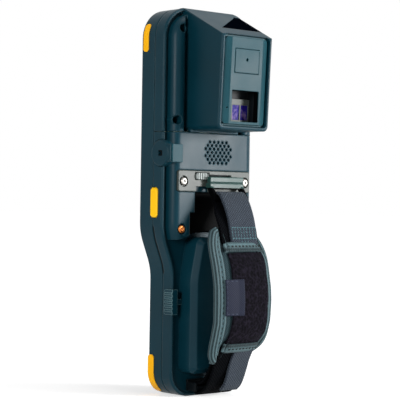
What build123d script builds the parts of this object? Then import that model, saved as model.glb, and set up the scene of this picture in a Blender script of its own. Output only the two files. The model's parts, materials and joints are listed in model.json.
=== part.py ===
from build123d import *
import math
import os

os.makedirs("parts", exist_ok=True)

# A hand-held data terminal: display and keys on its front, a scanner pod, battery and hand strap
# on its back. Millimetres. Z runs up the body, X across it and +Y out of its back. The origin is
# on the flat base.

# --- Housing outline, seen from the front ---
body_length = 209.6
head_width = 64.6
handle_width = 48.8
flare_height = 68.8  # where the handle starts to widen
flare_slope = 22.0  # degrees from upright
flare_radius = 30.0
top_corner_radius = 16.5
bottom_corner_radius = 13.0

# --- Housing depths, from the plane of the origin ---
front_depth = 12.0
parting_offset = 1.6
gasket_thickness = 0.6
rim_depth = 9.3
rim_width = 1.5
moat_depth = 2.1
moat_width = 2.2
back_rise = 5.4  # rim to the flat of the back
wall = 2.0
front_edge_chamfer = 3.2
front_inner_chamfer = 2.0  # inside, behind the outer one
rim_edge_chamfer = 0.8
shoulder_radius = 4.6
joint_gap = 0.3  # between housings, and around parts set into them
seat_gap = 0.1  # under parts that sit on a face

# --- Back of the handle ---
pod_seam_drop = 67.1  # below the top of the body, as every drop is
casing_end_height = 84.7  # the raised casing ends here at the sides
casing_end_crown = 4.2
casing_cavity_drop = 86.6
finger_recess_depth = 4.2
finger_recess_width = 34.0
finger_recess_height = 99.5
webbing_recess_width = 27.4
grip_groove_width = 2.6
grip_groove_depth = 0.8
grip_groove_low = 66.0
grip_groove_high = 92.0

# --- Scanner pod ---
pod_width = 36.6
pod_bottom_gap = 1.1  # above the seam
pod_low_reach = 37.7  # depth of its face at the bottom
pod_high_reach = 40.2  # and at the top
pod_face_drop = 16.2
facet_slope = 26.8  # degrees, of the sloping top
pod_wall = 1.8
pod_corner_radius = 3.0
pod_edge_chamfer = 0.8
valley_radius = 3.0
valley_width = 2.2
plate_reveal = 2.2  # groove depth round the face plate
plate_flange = 1.6
plate_ledge = 1.5
plate_groove = 1.3
plate_bevel_width = 4.0
plate_bevel_depth = 1.2
plate_top_margin = 1.4
cover_width = 17.4
cover_height = 12.8
cover_centre_drop = 29.4
cover_thickness = 1.2
cover_hole_radius = 0.8
imager_width = 19.4
imager_height = 16.6
imager_centre_drop = 53.3
imager_depth = 7.0
imager_wall = 0.8
imager_frame_height = 12.2
imager_frame_depth = 2.0
imager_bar = 1.0
imager_top_bar = 3.2
imager_pinhole_gap = 2.8
imager_pinhole_hang = 1.2  # below the opening's centre
imager_pinhole_radius = 0.5
imager_panes_count = 3
window_thickness = 1.4
window_lip = 1.6
window_near_depth = 31.2
window_near_reach = 10.8  # on the +X side, at its near edge
window_knee_depth = 15.6
window_knee_offset = 11.4
window_far_depth = 13.2
window_far_offset = 14.2
engine_height = 14.0
engine_depth = 15.0
engine_top_drop = 21.6

# --- Display and keys ---
glass_width = 45.4
glass_top_drop = 15.6
glass_key_gap = 14.0  # from the scan key up to the display
glass_thickness = 1.0
bezel_lap = 2.0
bezel_slope = 1.0
module_thickness = 5.4
board_thickness = 1.6
board_depth = 3.0  # from the origin plane to the board's front
key_wall_gap = 0.25
key_rise = 1.2
key_travel = 0.9
key_flange = 0.8
key_flange_thickness = 0.8
key_edge_chamfer = 0.35
key_columns = 3
key_rows = 5
key_pitch_across = 13.4
key_pitch_up = 12.0
key_width = 9.6
key_height = 7.0
key_corner = 1.3
scan_key_corner = 3.0
key_bottom_height = 24.0
scan_key_width = 21.0
scan_key_height = 10.0
scan_key_centre_height = 103.0
soft_key_width = 9.0
soft_key_height = 6.4
soft_key_offset = 21.0
keypad_board_thickness = 1.0
keypad_rib = 1.2

# --- Side triggers ---
trigger_length = 16.0
trigger_width = 5.6
trigger_corner = 1.2
trigger_edge_chamfer = 0.5
trigger_centre_height = 104.5
trigger_centre_depth = 3.0
trigger_rise = 0.7
trigger_travel = 1.0
trigger_flange = 1.2
trigger_flange_thickness = 1.0

# --- Charging port in the side ---
port_drop = 78.7
port_centre_depth = 7.6
port_cap_radius = 7.1
port_cap_thickness = 1.6
port_cap_rise = 0.8
port_boss_radius = 7.4
port_boss_reach = 7.5
port_hole_radius = 4.8
port_hole_depth = 5.0
port_plug_depth = 1.2
port_eye_radius = 1.3
port_tab_width = 9.5
port_tab_length = 7.5
port_tab_thickness = 0.9
port_tab_rise = 1.2
port_cap_bevel = 0.6

# --- Speaker ---
speaker_offset = -2.8
speaker_drop = 77.5
speaker_radius = 8.4
speaker_thickness = 3.4
speaker_magnet = 1.5
grille_hole_radius = 0.85
grille_pitch_across = 3.03
grille_pitch_up = 1.886
grille_rows = (5, 6, 7, 6, 7, 6, 5)

# --- Strap plate, latch and bracket ---
plate_width = 52.0
plate_height = 11.3
plate_centre_drop = 93.25
plate_thickness = 1.5
plate_sink = 0.8
plate_corner = 1.2
latch_knob_length = 8.3
latch_knob_height = 3.5
latch_knob_offset = 9.8
latch_lift = 2.65  # above the plate's centre
latch_knob_rise = 1.0
latch_travel = 1.5
latch_tongue_length = 16.0
latch_tongue_height = 1.3
latch_base_thickness = 1.0
latch_ridge_count = 4
bracket_width = 24.0
bracket_offset = -5.4
bracket_ridge = 3.2
bracket_reach = 4.0
bracket_arm = 1.8
bracket_arm_width = 3.0
crossbar_radius = 1.3
upper_bar_depth = 22.0
upper_bar_hang = 8.95  # below the plate's centre

# --- Strap and pad ---
webbing_thickness = 1.6
lower_webbing_thickness = 2.3
webbing_gap = 0.3
upper_webbing_width = 19.0
lower_webbing_width = 24.4
pad_width = 40.0
pad_offset = -1.0
pad_thickness = 4.4
pad_top_height = 90.5
pad_bottom_height = 19.0
pad_top_depth = 32.4
pad_bottom_depth = 30.0
pad_middle_depth = 40.4
pad_middle_height = 53.5
pad_corner = 6.0
pad_top_width = 31.0
pad_bottom_width = 23.0
pad_top_taper = 12.0
pad_bottom_taper = 14.0
pad_overrun = 1.0
anchor_offset = -2.4
anchor_ear = 1.4
anchor_base_thickness = 1.1
anchor_bar_depth = 13.6
anchor_bar_height = 4.5
anchor_ear_width = 4.4

# --- Battery ---
battery_width = 35.0
battery_bottom = 12.9
battery_top = 86.0
battery_shoulder_height = 64.0
battery_neck_width = 26.0
battery_depth = 19.5
battery_edge_chamfer = 2.8
battery_corner = 3.6
battery_bend = 30.0
battery_neck_corner = 5.0
contact_width = 12.0
contact_height = 4.0
contact_centre_height = 78.0
contact_rise = 0.4
contact_blades = 4
lock_length = 13.5
lock_centre_height = 51.2
lock_low_depth = 4.1
lock_high_depth = 11.2
lock_thickness = 1.0
lock_travel = 3.0
lock_running_gap = 0.1
lock_rib_count = 5
lock_rib_rise = 0.5
lock_tongue_height = 3.0
lock_bite = 1.4

# --- Screws ---
screw_head_radius = 2.2
screw_head_height = 1.5
screw_shank_radius = 1.2
screw_recess_radius = 3.0
screw_recess_depth = 1.9
pod_screw_well_radius = 2.45
pod_screw_well_depth = 9.0
well_wall = 0.8
boss_wall = 1.7
boss_end_gap = 0.3
pod_screw_top_offset = 22.9
pod_screw_top_drop = 11.8
pod_screw_low_offset = 25.9
pod_screw_low_drop = 60.9
plate_screw_offset = 22.2
plate_screw_hang = 0.25  # below the plate's centre
casing_screw_offset = 22.4
casing_screw_lift = 5.8  # above the casing's end
screw_socket_radius = 0.9
screw_socket_depth = 0.8

# --- Coloured inserts, each a span of depth and of height, or of drops ---
insert_rise = 0.4
insert_depth = 1.2
insert_corner = 1.1
top_insert_depths = (-7.7, -3.5)
top_insert_drops = (23.8, 8.7)
bottom_insert_depths = (-9.4, -4.8)
bottom_insert_heights = (1.6, 21.8)
edge_insert_depths = (-12.5, -9.0)
edge_insert_drops = (51.8, 36.1)
edge_insert_sink = 0.5

# --- Places worked out from the sizes above ---
front_y = -front_depth
parting_front = parting_offset - gasket_thickness / 2
parting_back = parting_offset + gasket_thickness / 2
rim_y = rim_depth
floor_y = rim_depth - moat_depth
back_y = rim_depth + back_rise
ceiling_y = floor_y - wall
casing_inset = rim_width + moat_width
half_head = head_width / 2
half_handle = handle_width / 2
half_pod = pod_width / 2
glass_front_y = front_y + wall + seat_gap
board_front_y = -board_depth
pod_seam_height = body_length - pod_seam_drop
casing_cavity_height = body_length - casing_cavity_drop
pod_bottom = pod_seam_height + pod_bottom_gap
pod_face_top = body_length - pod_face_drop
cover_centre_height = body_length - cover_centre_drop
imager_centre_height = body_length - imager_centre_drop
engine_top = body_length - engine_top_drop
glass_bottom = scan_key_centre_height + scan_key_height / 2 + glass_key_gap
glass_height = body_length - glass_top_drop - glass_bottom
glass_centre_height = glass_bottom + glass_height / 2
port_height = body_length - port_drop
speaker_height = body_length - speaker_drop
plate_centre_height = body_length - plate_centre_drop
latch_height = plate_centre_height + latch_lift
upper_bar_height = plate_centre_height - upper_bar_hang
pod_screw_spots = (
    (pod_screw_top_offset, body_length - pod_screw_top_drop),
    (pod_screw_low_offset, body_length - pod_screw_low_drop),
)
plate_screw_spot = (plate_screw_offset, plate_centre_height - plate_screw_hang)
casing_screw_spot = (casing_screw_offset, casing_end_height + casing_screw_lift)
far = 400.0


def flat(y):
    """Drawing plane across the body at depth y: local x is X and local y is Z."""
    return Plane((0, y, 0), x_dir=(1, 0, 0), z_dir=(0, -1, 0))


def prism(sketch, y_front, y_back):
    """A sketch drawn in X and Z, made solid between two depths."""
    return extrude(flat(y_back) * sketch, amount=y_back - y_front)


def bar(sketch, x_low, x_high):
    """A sketch drawn in Y and Z, made solid between two places across the body."""
    plane = Plane((x_low, 0, 0), x_dir=(0, 1, 0), z_dir=(1, 0, 0))
    return extrude(plane * sketch, amount=x_high - x_low)


def block(x_span, y_span, z_span):
    """A box between two corners, each span given low then high."""
    size = [span[1] - span[0] for span in (x_span, y_span, z_span)]
    centre = [(span[0] + span[1]) / 2 for span in (x_span, y_span, z_span)]
    return Pos(*centre) * Box(*size)


def pin_y(radius, x, z, y_front, y_back):
    """A round pin or hole along Y."""
    return prism(Pos(x, z) * Circle(radius), y_front, y_back)


def post_y(radius, x, z, y_front, y_back, sides=12):
    """A many-sided post or hole along Y, for places that stay hidden."""
    return prism(Pos(x, z) * RegularPolygon(radius, sides), y_front, y_back)


def clipped(width, height, corner):
    """A rectangle with its corners cut off."""
    return chamfer(Rectangle(width, height).vertices(), corner)


def pin_x(radius, y, z, x_low, x_high):
    """A round pin or hole along X."""
    return bar(Pos(y, z) * Circle(radius), x_low, x_high)


def both_sides(spot):
    """A place on the +X side and its mirror image."""
    return ((spot[0], spot[1]), (-spot[0], spot[1]))


def rounded(solid, edges, radius):
    """A solid with a set of its edges rounded."""
    return solid.fillet(radius, list(edges))


def save(shape, node):
    """Write one node, as plain solids, to its own file."""
    solids = shape.solids()
    export_step(solids[0] if len(solids) == 1 else Compound(children=list(solids)), f"parts/{node}.step")


# --- Housing forms ---


def outline(inset=0.0):
    """The housing seen from the front, drawn in by inset."""
    slope = math.radians(flare_slope)
    rise = (head_width - handle_width) / 2 / math.tan(slope)
    lift = inset * math.tan(slope / 2)
    bend = min(flare_radius, 0.45 * rise / math.cos(slope) / math.tan(slope / 2))
    right = [
        (half_handle - inset, inset),
        (half_handle - inset, flare_height + lift),
        (half_head - inset, flare_height + rise + lift),
        (half_head - inset, body_length - inset),
    ]
    radii = [bottom_corner_radius - inset, bend + inset, bend - inset, top_corner_radius - inset]
    left = [(-x, z) for x, z in reversed(right)]
    return make_face(FilletPolyline(*right, *left, radius=radii + radii[::-1], close=True))


def front_block(inset=0.0):
    """The front half of the body as a solid block with its front edge cut at 45 degrees."""
    half = prism(outline(inset), front_y + inset, parting_front)
    cut = front_edge_chamfer - (2 - math.sqrt(2)) * inset
    return half.chamfer(cut, None, half.faces().sort_by(Axis.Y)[0].edges())


def casing_end(clearance=0.0):
    """The region below the arched end of the raised casing, seen from the back."""
    side = casing_end_height - clearance
    crown = side + casing_end_crown
    top = ThreePointArc((-half_handle, side), (0, crown), (half_handle, side))
    left = (-half_head, side)
    right = (half_head, side)
    edge = Polyline((half_handle, side), right, (half_head, -1), (-half_head, -1), left, (-half_handle, side))
    return make_face([top, edge])


def raised_casing(inset=0.0):
    """The raised middle of the back, from the moat floor to the flat of the back."""
    top = back_y - inset
    base = prism(outline(casing_inset + inset), floor_y - wall / 2, top)
    radius = min(shoulder_radius, top - floor_y - joint_gap) - inset / 2
    return rounded(base, base.faces().sort_by(Axis.Y)[-1].edges(), radius)


def rear_block():
    """The whole rear half before it is parted: rim, moat, floor and raised casing."""
    half = prism(outline(), parting_back, rim_y)
    half = half.chamfer(rim_edge_chamfer, None, half.faces().sort_by(Axis.Y)[-1].edges())
    half -= prism(outline(rim_width), floor_y, rim_y + 1)
    casing = raised_casing() - prism(casing_end(), 0, back_y + 1)
    return half + casing


def rear_cavity():
    """The room inside the rear half, under its floor and under the raised casing."""
    low = prism(outline(wall), parting_back - 1, ceiling_y)
    high = prism(outline(casing_inset + wall), 0, back_y - wall)
    above = block((-far, far), (-far, far), (casing_cavity_height, far))
    return low + (high & above)


def trigger_slot(x_sign):
    """The opening a side trigger moves in, with the pocket for its flange inside the wall."""
    mouth = clipped(
        trigger_width + 2 * joint_gap, trigger_length + 2 * joint_gap, trigger_corner + joint_gap / 2
    )
    room = Rectangle(
        trigger_width + 2 * joint_gap, trigger_length + 2 * trigger_flange + 2 * joint_gap
    )
    place = Pos(trigger_centre_depth, trigger_centre_height)
    inner = half_head - wall
    depth = trigger_flange_thickness + trigger_travel + 3 * joint_gap
    cut = bar(place * mouth, inner - depth, half_head + 2) + bar(place * room, inner - depth, inner)
    return cut if x_sign > 0 else mirror(cut, Plane.YZ)


def insert_solid(span, outer, inner, x_sign):
    """The skin of the front half between two insets, within a clipped patch of one side."""
    (y_low, y_high), (z_low, z_high) = span
    patch = clipped(y_high - y_low, z_high - z_low, insert_corner)
    region = bar(Pos((y_low + y_high) / 2, (z_low + z_high) / 2) * patch, 0, far)
    if y_low > front_y + front_edge_chamfer / 2:
        skin = prism(outline(outer) - outline(inner), y_low - 1, y_high + 1) & region
    else:
        region -= prism(outline(front_edge_chamfer), -far, far)
        skin = (front_block(outer) - front_block(inner)) & region
    return skin if x_sign > 0 else mirror(skin, Plane.YZ)


def insert_spans():
    """Each insert's name, span, outer and inner inset."""
    top = [body_length - drop for drop in top_insert_drops]
    edge = [body_length - drop for drop in edge_insert_drops]
    return (
        ("top_insert", (top_insert_depths, top), -insert_rise, insert_depth),
        ("bottom_insert", (bottom_insert_depths, bottom_insert_heights), -insert_rise, insert_depth),
        ("edge_insert", (edge_insert_depths, edge), edge_insert_sink, insert_depth),
    )


# --- Scanner pod forms ---


def pod_profile(face_inset=0.0, facet_inset=0.0, bottom_inset=0.0, start=0.0, top=None):
    """The pod from the side, drawn in Y and Z, with its face, sloping top and base drawn in."""
    top = body_length if top is None else top
    lean = math.atan2(pod_high_reach - pod_low_reach, pod_face_top - pod_bottom)
    slope = math.radians(facet_slope)
    face_shift = face_inset / math.cos(lean)
    facet_shift = facet_inset / math.cos(slope)
    reach = pod_face_top - pod_bottom + pod_high_reach * math.tan(slope) - facet_shift
    corner_y = pod_low_reach + reach * math.tan(lean) - face_shift
    corner_y /= 1 + math.tan(slope) * math.tan(lean)
    corner_z = pod_face_top + (pod_high_reach - corner_y) * math.tan(slope) - facet_shift
    low_z = pod_bottom + bottom_inset
    low_y = pod_low_reach + bottom_inset * math.tan(lean) - face_shift
    top_y = pod_high_reach - (top - pod_face_top + facet_shift) / math.tan(slope)
    points = [(start, low_z), (low_y, low_z), (corner_y, corner_z), (top_y, top), (start, top)]
    return make_face(Polyline(*points, close=True))


def pod_face_plane(inset=0.0):
    """A plane on the pod's leaning face, drawn in by inset: local x is X, local y runs up it."""
    lean = math.atan2(pod_high_reach - pod_low_reach, pod_face_top - pod_bottom)
    inward = Vector(0, -math.cos(lean), math.sin(lean))
    origin = Vector(0, pod_low_reach, pod_bottom) + inward * inset
    return Plane(origin, x_dir=(1, 0, 0), z_dir=inward)


def up_face(height):
    """Distance up the leaning face that reaches a height."""
    lean = math.atan2(pod_high_reach - pod_low_reach, pod_face_top - pod_bottom)
    return (height - pod_bottom) / math.cos(lean)


def on_face(sketch, near, deep):
    """A sketch on the pod's face, made solid between two depths below it."""
    return extrude(pod_face_plane(near) * sketch, amount=deep - near)


def plate_area(margin):
    """The face plate's rectangle on the pod face, drawn in by margin from the pod's sides."""
    low = pod_wall + margin
    high = up_face(pod_face_top) - plate_top_margin - margin + pod_wall
    width = pod_width - 2 * (pod_wall + margin)
    return Pos(0, (low + high) / 2) * RectangleRounded(width, high - low, pod_corner_radius - pod_wall / 2)


def window_plan(grow=0.0):
    """The scan window seen from above: it fans out towards the pod's face and reaches one side."""
    edge = half_pod + max(grow, 0)
    corners = [
        (window_near_reach, window_near_depth),
        (-window_knee_offset, window_knee_depth),
        (-window_far_offset, window_far_depth),
        (-edge, window_far_depth),
        (-edge, window_near_depth),
    ]
    face = make_face(Polyline(*corners, close=True))
    return face if grow == 0 else offset(face, amount=grow, kind=Kind.INTERSECTION)


def window_layer(near, deep):
    """The skin of the pod's sloping top between two depths."""
    shell = pod_profile(facet_inset=near, start=3) - pod_profile(facet_inset=deep, start=2)
    return bar(shell, -half_pod, half_pod)


def pod_outer():
    """The wedge that stands on the back of the head."""
    wedge = bar(pod_profile(start=ceiling_y), -half_pod, half_pod)
    base_edges = wedge.edges().filter_by(Axis.Y).group_by(Axis.Z)[0]
    wedge = rounded(wedge, base_edges, pod_corner_radius)
    face = wedge.faces().filter_by(lambda f: abs(f.normal_at().Y) > 0.9).sort_by(Axis.Y)[-1]
    return wedge.chamfer(pod_edge_chamfer, None, face.edges())


def pod_valleys():
    """The hollows between the pod's sides and the rounded columns that hold its screws."""
    start = half_pod
    foot = start + valley_width
    low = back_y - valley_radius
    flank = ThreePointArc(
        (foot, low),
        (foot + valley_radius * (1 - math.sqrt(0.5)), low + valley_radius * math.sqrt(0.5)),
        (foot + valley_radius, back_y),
    )
    rest = Polyline(
        (foot + valley_radius, back_y),
        (foot + valley_radius, back_y + 1),
        (start - 1, back_y + 1),
        (start - 1, low),
        (foot, low),
    )
    one = extrude(Plane.XY.offset(pod_seam_height - 1) * make_face([flank, rest]), amount=far)
    return one + mirror(one, Plane.YZ)


# --- Housing nodes ---


def key_spots():
    """Every key: node name, centre X, centre height, width, height and corner radius."""
    z = scan_key_centre_height
    spots = [("scan_key", 0.0, z, scan_key_width, scan_key_height, scan_key_corner)]
    for side, sign in (("left", 1), ("right", -1)):
        x = sign * soft_key_offset
        spots.append((f"soft_key_{side}", x, z, soft_key_width, soft_key_height, key_corner))
    for row in range(key_rows):
        for column in range(key_columns):
            x = (column - (key_columns - 1) / 2) * key_pitch_across
            z = key_bottom_height + row * key_pitch_up
            spots.append((f"key_r{row + 1}_c{column + 1}", x, z, key_width, key_height, key_corner))
    return spots


def front_housing():
    shell = front_block()
    inner = prism(outline(wall), front_y + wall, parting_front + 1)
    shell -= inner.chamfer(front_inner_chamfer, None, inner.faces().sort_by(Axis.Y)[0].edges())
    view = Rectangle(glass_width - 2 * bezel_lap, glass_height - 2 * bezel_lap)
    place = Pos(0, glass_centre_height)
    shell -= prism(place * view, front_y - 1, front_y + wall + 1)
    bezel = loft([
        flat(front_y) * place * offset(view, amount=bezel_slope, kind=Kind.INTERSECTION),
        flat(front_y + bezel_slope) * place * view,
    ])
    shell -= bezel
    for _, x, z, width, height, corner in key_spots():
        hole = clipped(width + 2 * key_wall_gap, height + 2 * key_wall_gap, corner + key_wall_gap / 2)
        shell -= prism(Pos(x, z) * hole, front_y - 1, front_y + wall + 1)
    rib_y = front_y + wall + joint_gap + key_flange_thickness + key_travel + joint_gap
    rib_x = half_handle - wall - keypad_rib
    for sign in (1, -1):
        span = sorted((sign * rib_x, sign * (rib_x - keypad_rib)))
        shell += block(span, (front_y + wall / 2, rib_y), (bottom_corner_radius, flare_height))
    for spot in pod_screw_spots + (plate_screw_spot, casing_screw_spot):
        for x, z in both_sides(spot):
            post = screw_shank_radius + boss_wall
            shell += post_y(post, x, z, front_y + wall / 2, board_front_y) & front_block()
    for _, x, z, width, height, _ in key_spots():
        room = Rectangle(width + 2 * (key_flange + joint_gap), height + 2 * (key_flange + joint_gap))
        shell -= prism(Pos(x, z) * room, front_y + wall, rib_y)
    for spot in pod_screw_spots + (plate_screw_spot, casing_screw_spot):
        for x, z in both_sides(spot):
            shell -= post_y(screw_shank_radius + seat_gap, x, z, front_y + 2 * wall, board_front_y + 1, 8)
    for sign in (1, -1):
        shell -= trigger_slot(sign)
        for _, span, outer, inset in insert_spans():
            shell -= insert_solid(span, -2 * insert_rise, inset, sign)
    shell -= pin_x(port_boss_radius, port_centre_depth, port_height, port_face_x() - joint_gap, far)
    return shell


def port_face_x():
    """Where the back of the port's cap lies across the body."""
    return half_head + port_cap_rise - port_cap_thickness


def port_boss():
    """The round boss that carries the charging port, with the seat for the cap's tab."""
    end = port_face_x() - joint_gap
    boss = pin_x(port_boss_radius - joint_gap, port_centre_depth, port_height, end - port_boss_reach, end)
    half = port_tab_width / 2
    tab_y = port_tab_back() - port_tab_thickness - seat_gap
    seat = block(
        (end - port_tab_length, end), (port_centre_depth, tab_y), (port_height - half, port_height + half)
    )
    behind = block((0, far), (parting_back, far), (0, far))
    return (boss + seat) & behind


def port_tab_back():
    """Depth of the tab's outer face, just clear of the cap's edge."""
    return port_centre_depth + port_cap_radius + port_tab_rise


def grille_spots():
    """Centres of the speaker's holes, in staggered rows."""
    spots = []
    for row, count in enumerate(grille_rows):
        z = speaker_height + (row - (len(grille_rows) - 1) / 2) * grille_pitch_up
        for column in range(count):
            spots.append((speaker_offset + (column - (count - 1) / 2) * grille_pitch_across, z))
    return spots


def plate_rectangle(grow=0.0):
    return Pos(0, plate_centre_height) * RectangleRounded(
        plate_width + 2 * grow, plate_height + 2 * grow, plate_corner + grow
    )


def latch_room(grow=0.0):
    """The room under the strap plate for the latch's wide base."""
    height = latch_knob_height + 2 * joint_gap + 1.0 + 2 * grow
    length = latch_knob_length + latch_tongue_length + latch_travel + 2 * joint_gap + 2 * grow
    high = latch_knob_offset + latch_knob_length / 2 + joint_gap + grow
    return Pos(high - length / 2, latch_height) * Rectangle(length, height)


def back_housing():
    shell = rear_block() - rear_cavity()
    shell -= block((-far, far), (-far, far), (pod_seam_height - joint_gap / 2, far))
    recess = Rectangle(finger_recess_width, finger_recess_height)
    upper = Rectangle(webbing_recess_width, plate_centre_height)
    floor = back_y - finger_recess_depth
    shell -= prism(Pos(0, finger_recess_height / 2) * recess, floor, back_y + 1)
    shell -= prism(Pos(0, plate_centre_height / 2) * upper, floor, back_y + 1)
    shell += port_boss()
    for x, z in both_sides(plate_screw_spot) + both_sides(casing_screw_spot):
        shell += post_y(screw_shank_radius + boss_wall, x, z, parting_back, ceiling_y)
    plate_floor = back_y - plate_sink
    shell -= prism(plate_rectangle(joint_gap), plate_floor, back_y + 1)
    shell += prism(plate_rectangle(joint_gap), floor - 1, plate_floor) & rear_block()
    shell -= prism(latch_room(), plate_floor - latch_base_thickness - 2 * seat_gap, back_y)
    for x, z in both_sides(plate_screw_spot):
        shell -= post_y(screw_shank_radius + seat_gap, x, z, 0, back_y + 1, 8)
    for x, z in both_sides(casing_screw_spot):
        shell -= post_y(screw_shank_radius + seat_gap, x, z, 0, back_y + 1, 8)
        shell -= post_y(screw_recess_radius, x, z, back_y - screw_recess_depth, back_y + 1, 20)
    for x, z in grille_spots():
        hole = Pos(x, z) * RegularPolygon(grille_hole_radius, 8)
        shell -= prism(hole, back_y - 2 * wall, back_y + 1)
    shell -= pin_x(
        port_boss_radius, port_centre_depth, port_height, port_face_x() - joint_gap, half_head + 1
    )
    end = port_face_x() - joint_gap
    shell -= pin_x(port_hole_radius, port_centre_depth, port_height, end - port_hole_depth, end + 1)
    for sign in (1, -1):
        shell -= trigger_slot(sign)
    contacts = Pos(0, contact_centre_height) * Rectangle(
        contact_width + 2 * seat_gap, contact_height + 2 * seat_gap
    )
    shell -= prism(contacts, 0, floor_y + 1)
    return shell - grip_grooves()


def grip_grooves():
    """Shallow grooves along the parting line where the body widens, one each side."""
    height = grip_groove_high - grip_groove_low
    middle = (grip_groove_high + grip_groove_low) / 2
    patch = RectangleRounded(grip_groove_width, height, grip_groove_width / 2.1)
    region = bar(Pos(parting_offset, middle) * patch, -far, far)
    skin = prism(outline(-1), -far / 10, far / 10) - prism(outline(grip_groove_depth), -far / 9, far / 9)
    return skin & region


def scanner_pod():
    shell = rear_block() - rear_cavity() - pod_valleys()
    above = block((-far, far), (-far, far), (pod_seam_height + joint_gap / 2, far))
    shell &= above
    slope_cut = bar(pod_profile(start=0, top=body_length), -half_pod, half_pod)
    over = block((-half_pod, half_pod), (ceiling_y, far), (pod_bottom, far)) - slope_cut
    for spot in pod_screw_spots:
        for x, z in both_sides(spot):
            shell += post_y(pod_screw_well_radius + well_wall, x, z, parting_back, back_y - wall)
    shell = (shell - over) + pod_outer()
    inside = pod_profile(
        face_inset=plate_reveal + plate_flange + plate_ledge,
        facet_inset=pod_wall,
        bottom_inset=pod_wall,
        start=parting_back - 1,
        top=body_length - pod_wall,
    )
    shell -= bar(inside, pod_wall - half_pod, half_pod - pod_wall)
    shell -= on_face(plate_area(0), -1, plate_reveal + plate_flange)
    shell -= on_face(plate_area(plate_ledge), 0, plate_reveal + plate_flange + plate_ledge + 1)
    window_cut = extrude(Plane.XY.offset(pod_bottom) * window_plan(seat_gap), amount=far)
    shell -= window_cut & window_layer(-1, window_thickness + seat_gap)
    light_gap = extrude(Plane.XY.offset(pod_bottom) * window_plan(-window_lip), amount=far)
    shell -= light_gap & window_layer(0, 2 * pod_wall)
    for sign in (1, -1):
        ledge = block(
            sorted((sign * (half_pod - pod_wall / 2), sign * (half_pod - pod_wall - 2))),
            (back_y, back_y + engine_depth),
            (engine_top - engine_height - pod_wall, engine_top - engine_height - seat_gap),
        )
        shell += ledge
    for spot in pod_screw_spots:
        for x, z in both_sides(spot):
            shell -= post_y(screw_shank_radius + seat_gap, x, z, 0, back_y, 8)
            shell -= post_y(pod_screw_well_radius, x, z, back_y - pod_screw_well_depth, back_y + 1, 20)
    return shell


def gasket():
    """The seal in the parting line, set in from the outside."""
    ring = prism(outline(0.6), parting_front, parting_back) - prism(outline(wall), 0, parting_back + 1)
    for sign in (1, -1):
        ring -= trigger_slot(sign)
    return ring - pin_x(port_boss_radius, port_centre_depth, port_height, 0, far)


# --- Scanner pod nodes ---


def pod_face_plate():
    flange = on_face(plate_area(joint_gap), plate_reveal, plate_reveal + plate_flange)
    raised = on_face(plate_area(plate_groove), 0, plate_reveal)
    bevel = on_face(
        Pos(0, up_face(pod_face_top) / 2) * Rectangle(pod_width, far), -1, plate_bevel_depth
    )
    flat_half = half_pod - pod_wall - plate_groove - plate_bevel_width
    keep = loft([
        pod_face_plane(0) * Pos(0, up_face(pod_face_top) / 2) * Rectangle(2 * flat_half, far / 4),
        pod_face_plane(plate_bevel_depth)
        * Pos(0, up_face(pod_face_top) / 2)
        * Rectangle(2 * (flat_half + plate_bevel_width), far / 4),
    ])
    plate = flange + (raised - (bevel - keep))
    opening = Pos(0, up_face(imager_centre_height)) * Rectangle(imager_width, imager_height)
    plate -= on_face(opening, -1, far / 10)
    pocket = Pos(0, up_face(cover_centre_height)) * Rectangle(
        cover_width + joint_gap, cover_height + joint_gap
    )
    plate -= on_face(pocket, -1, cover_thickness)
    spot = Pos(imager_width / 2 + imager_pinhole_gap, up_face(imager_centre_height - imager_pinhole_hang))
    return plate - on_face(spot * Circle(imager_pinhole_radius), -1, plate_reveal)


def service_cover():
    sheet = Pos(0, up_face(cover_centre_height)) * Rectangle(
        cover_width - joint_gap, cover_height - joint_gap
    )
    hole = Pos(0, up_face(cover_centre_height + 0.8)) * Circle(cover_hole_radius)
    return on_face(sheet, -0.2, cover_thickness) - on_face(hole, -1, cover_thickness + 1)


def imager_tunnel():
    """A black liner behind the plate's opening, closed at its back."""
    place = Pos(0, up_face(imager_centre_height))
    start = plate_reveal + plate_flange
    outer = Rectangle(imager_width + 2 * imager_wall, imager_height + 2 * imager_wall)
    hollow = Rectangle(imager_width, imager_height)
    box = on_face(place * outer, start, imager_depth + imager_frame_depth + imager_wall)
    return box - on_face(place * hollow, start - 1, imager_depth + imager_frame_depth)


def imager_frame_place():
    low = imager_centre_height - imager_height / 2 + imager_frame_height / 2
    return Pos(0, up_face(low))


def imager_pane_width():
    return (imager_width - (imager_panes_count + 1) * imager_bar) / imager_panes_count


def imager_pane_sketch(shrink):
    """The panes' rectangles side by side."""
    height = imager_frame_height - imager_bar - imager_top_bar
    pane = Rectangle(imager_pane_width() - shrink, height - shrink)
    pitch = imager_pane_width() + imager_bar
    offsets = [(i - (imager_panes_count - 1) / 2) * pitch for i in range(imager_panes_count)]
    return Sketch() + [Pos(x, (imager_bar - imager_top_bar) / 2) * pane for x in offsets]


def imager_frame():
    place = imager_frame_place()
    body = Rectangle(imager_width - seat_gap, imager_frame_height - seat_gap)
    back = imager_depth + imager_frame_depth
    frame = on_face(place * body, imager_depth, back - seat_gap / 2)
    panes = place * imager_pane_sketch(0)
    return frame - on_face(panes, imager_depth - 1, back - imager_frame_depth / 2)


def imager_panes():
    near = imager_depth + 0.3
    deep = imager_depth + imager_frame_depth / 2 - seat_gap / 2
    return on_face(imager_frame_place() * imager_pane_sketch(seat_gap), near, deep)


def scan_window():
    column = extrude(Plane.XY.offset(pod_bottom) * window_plan(), amount=far)
    return column & window_layer(0, window_thickness)


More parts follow.
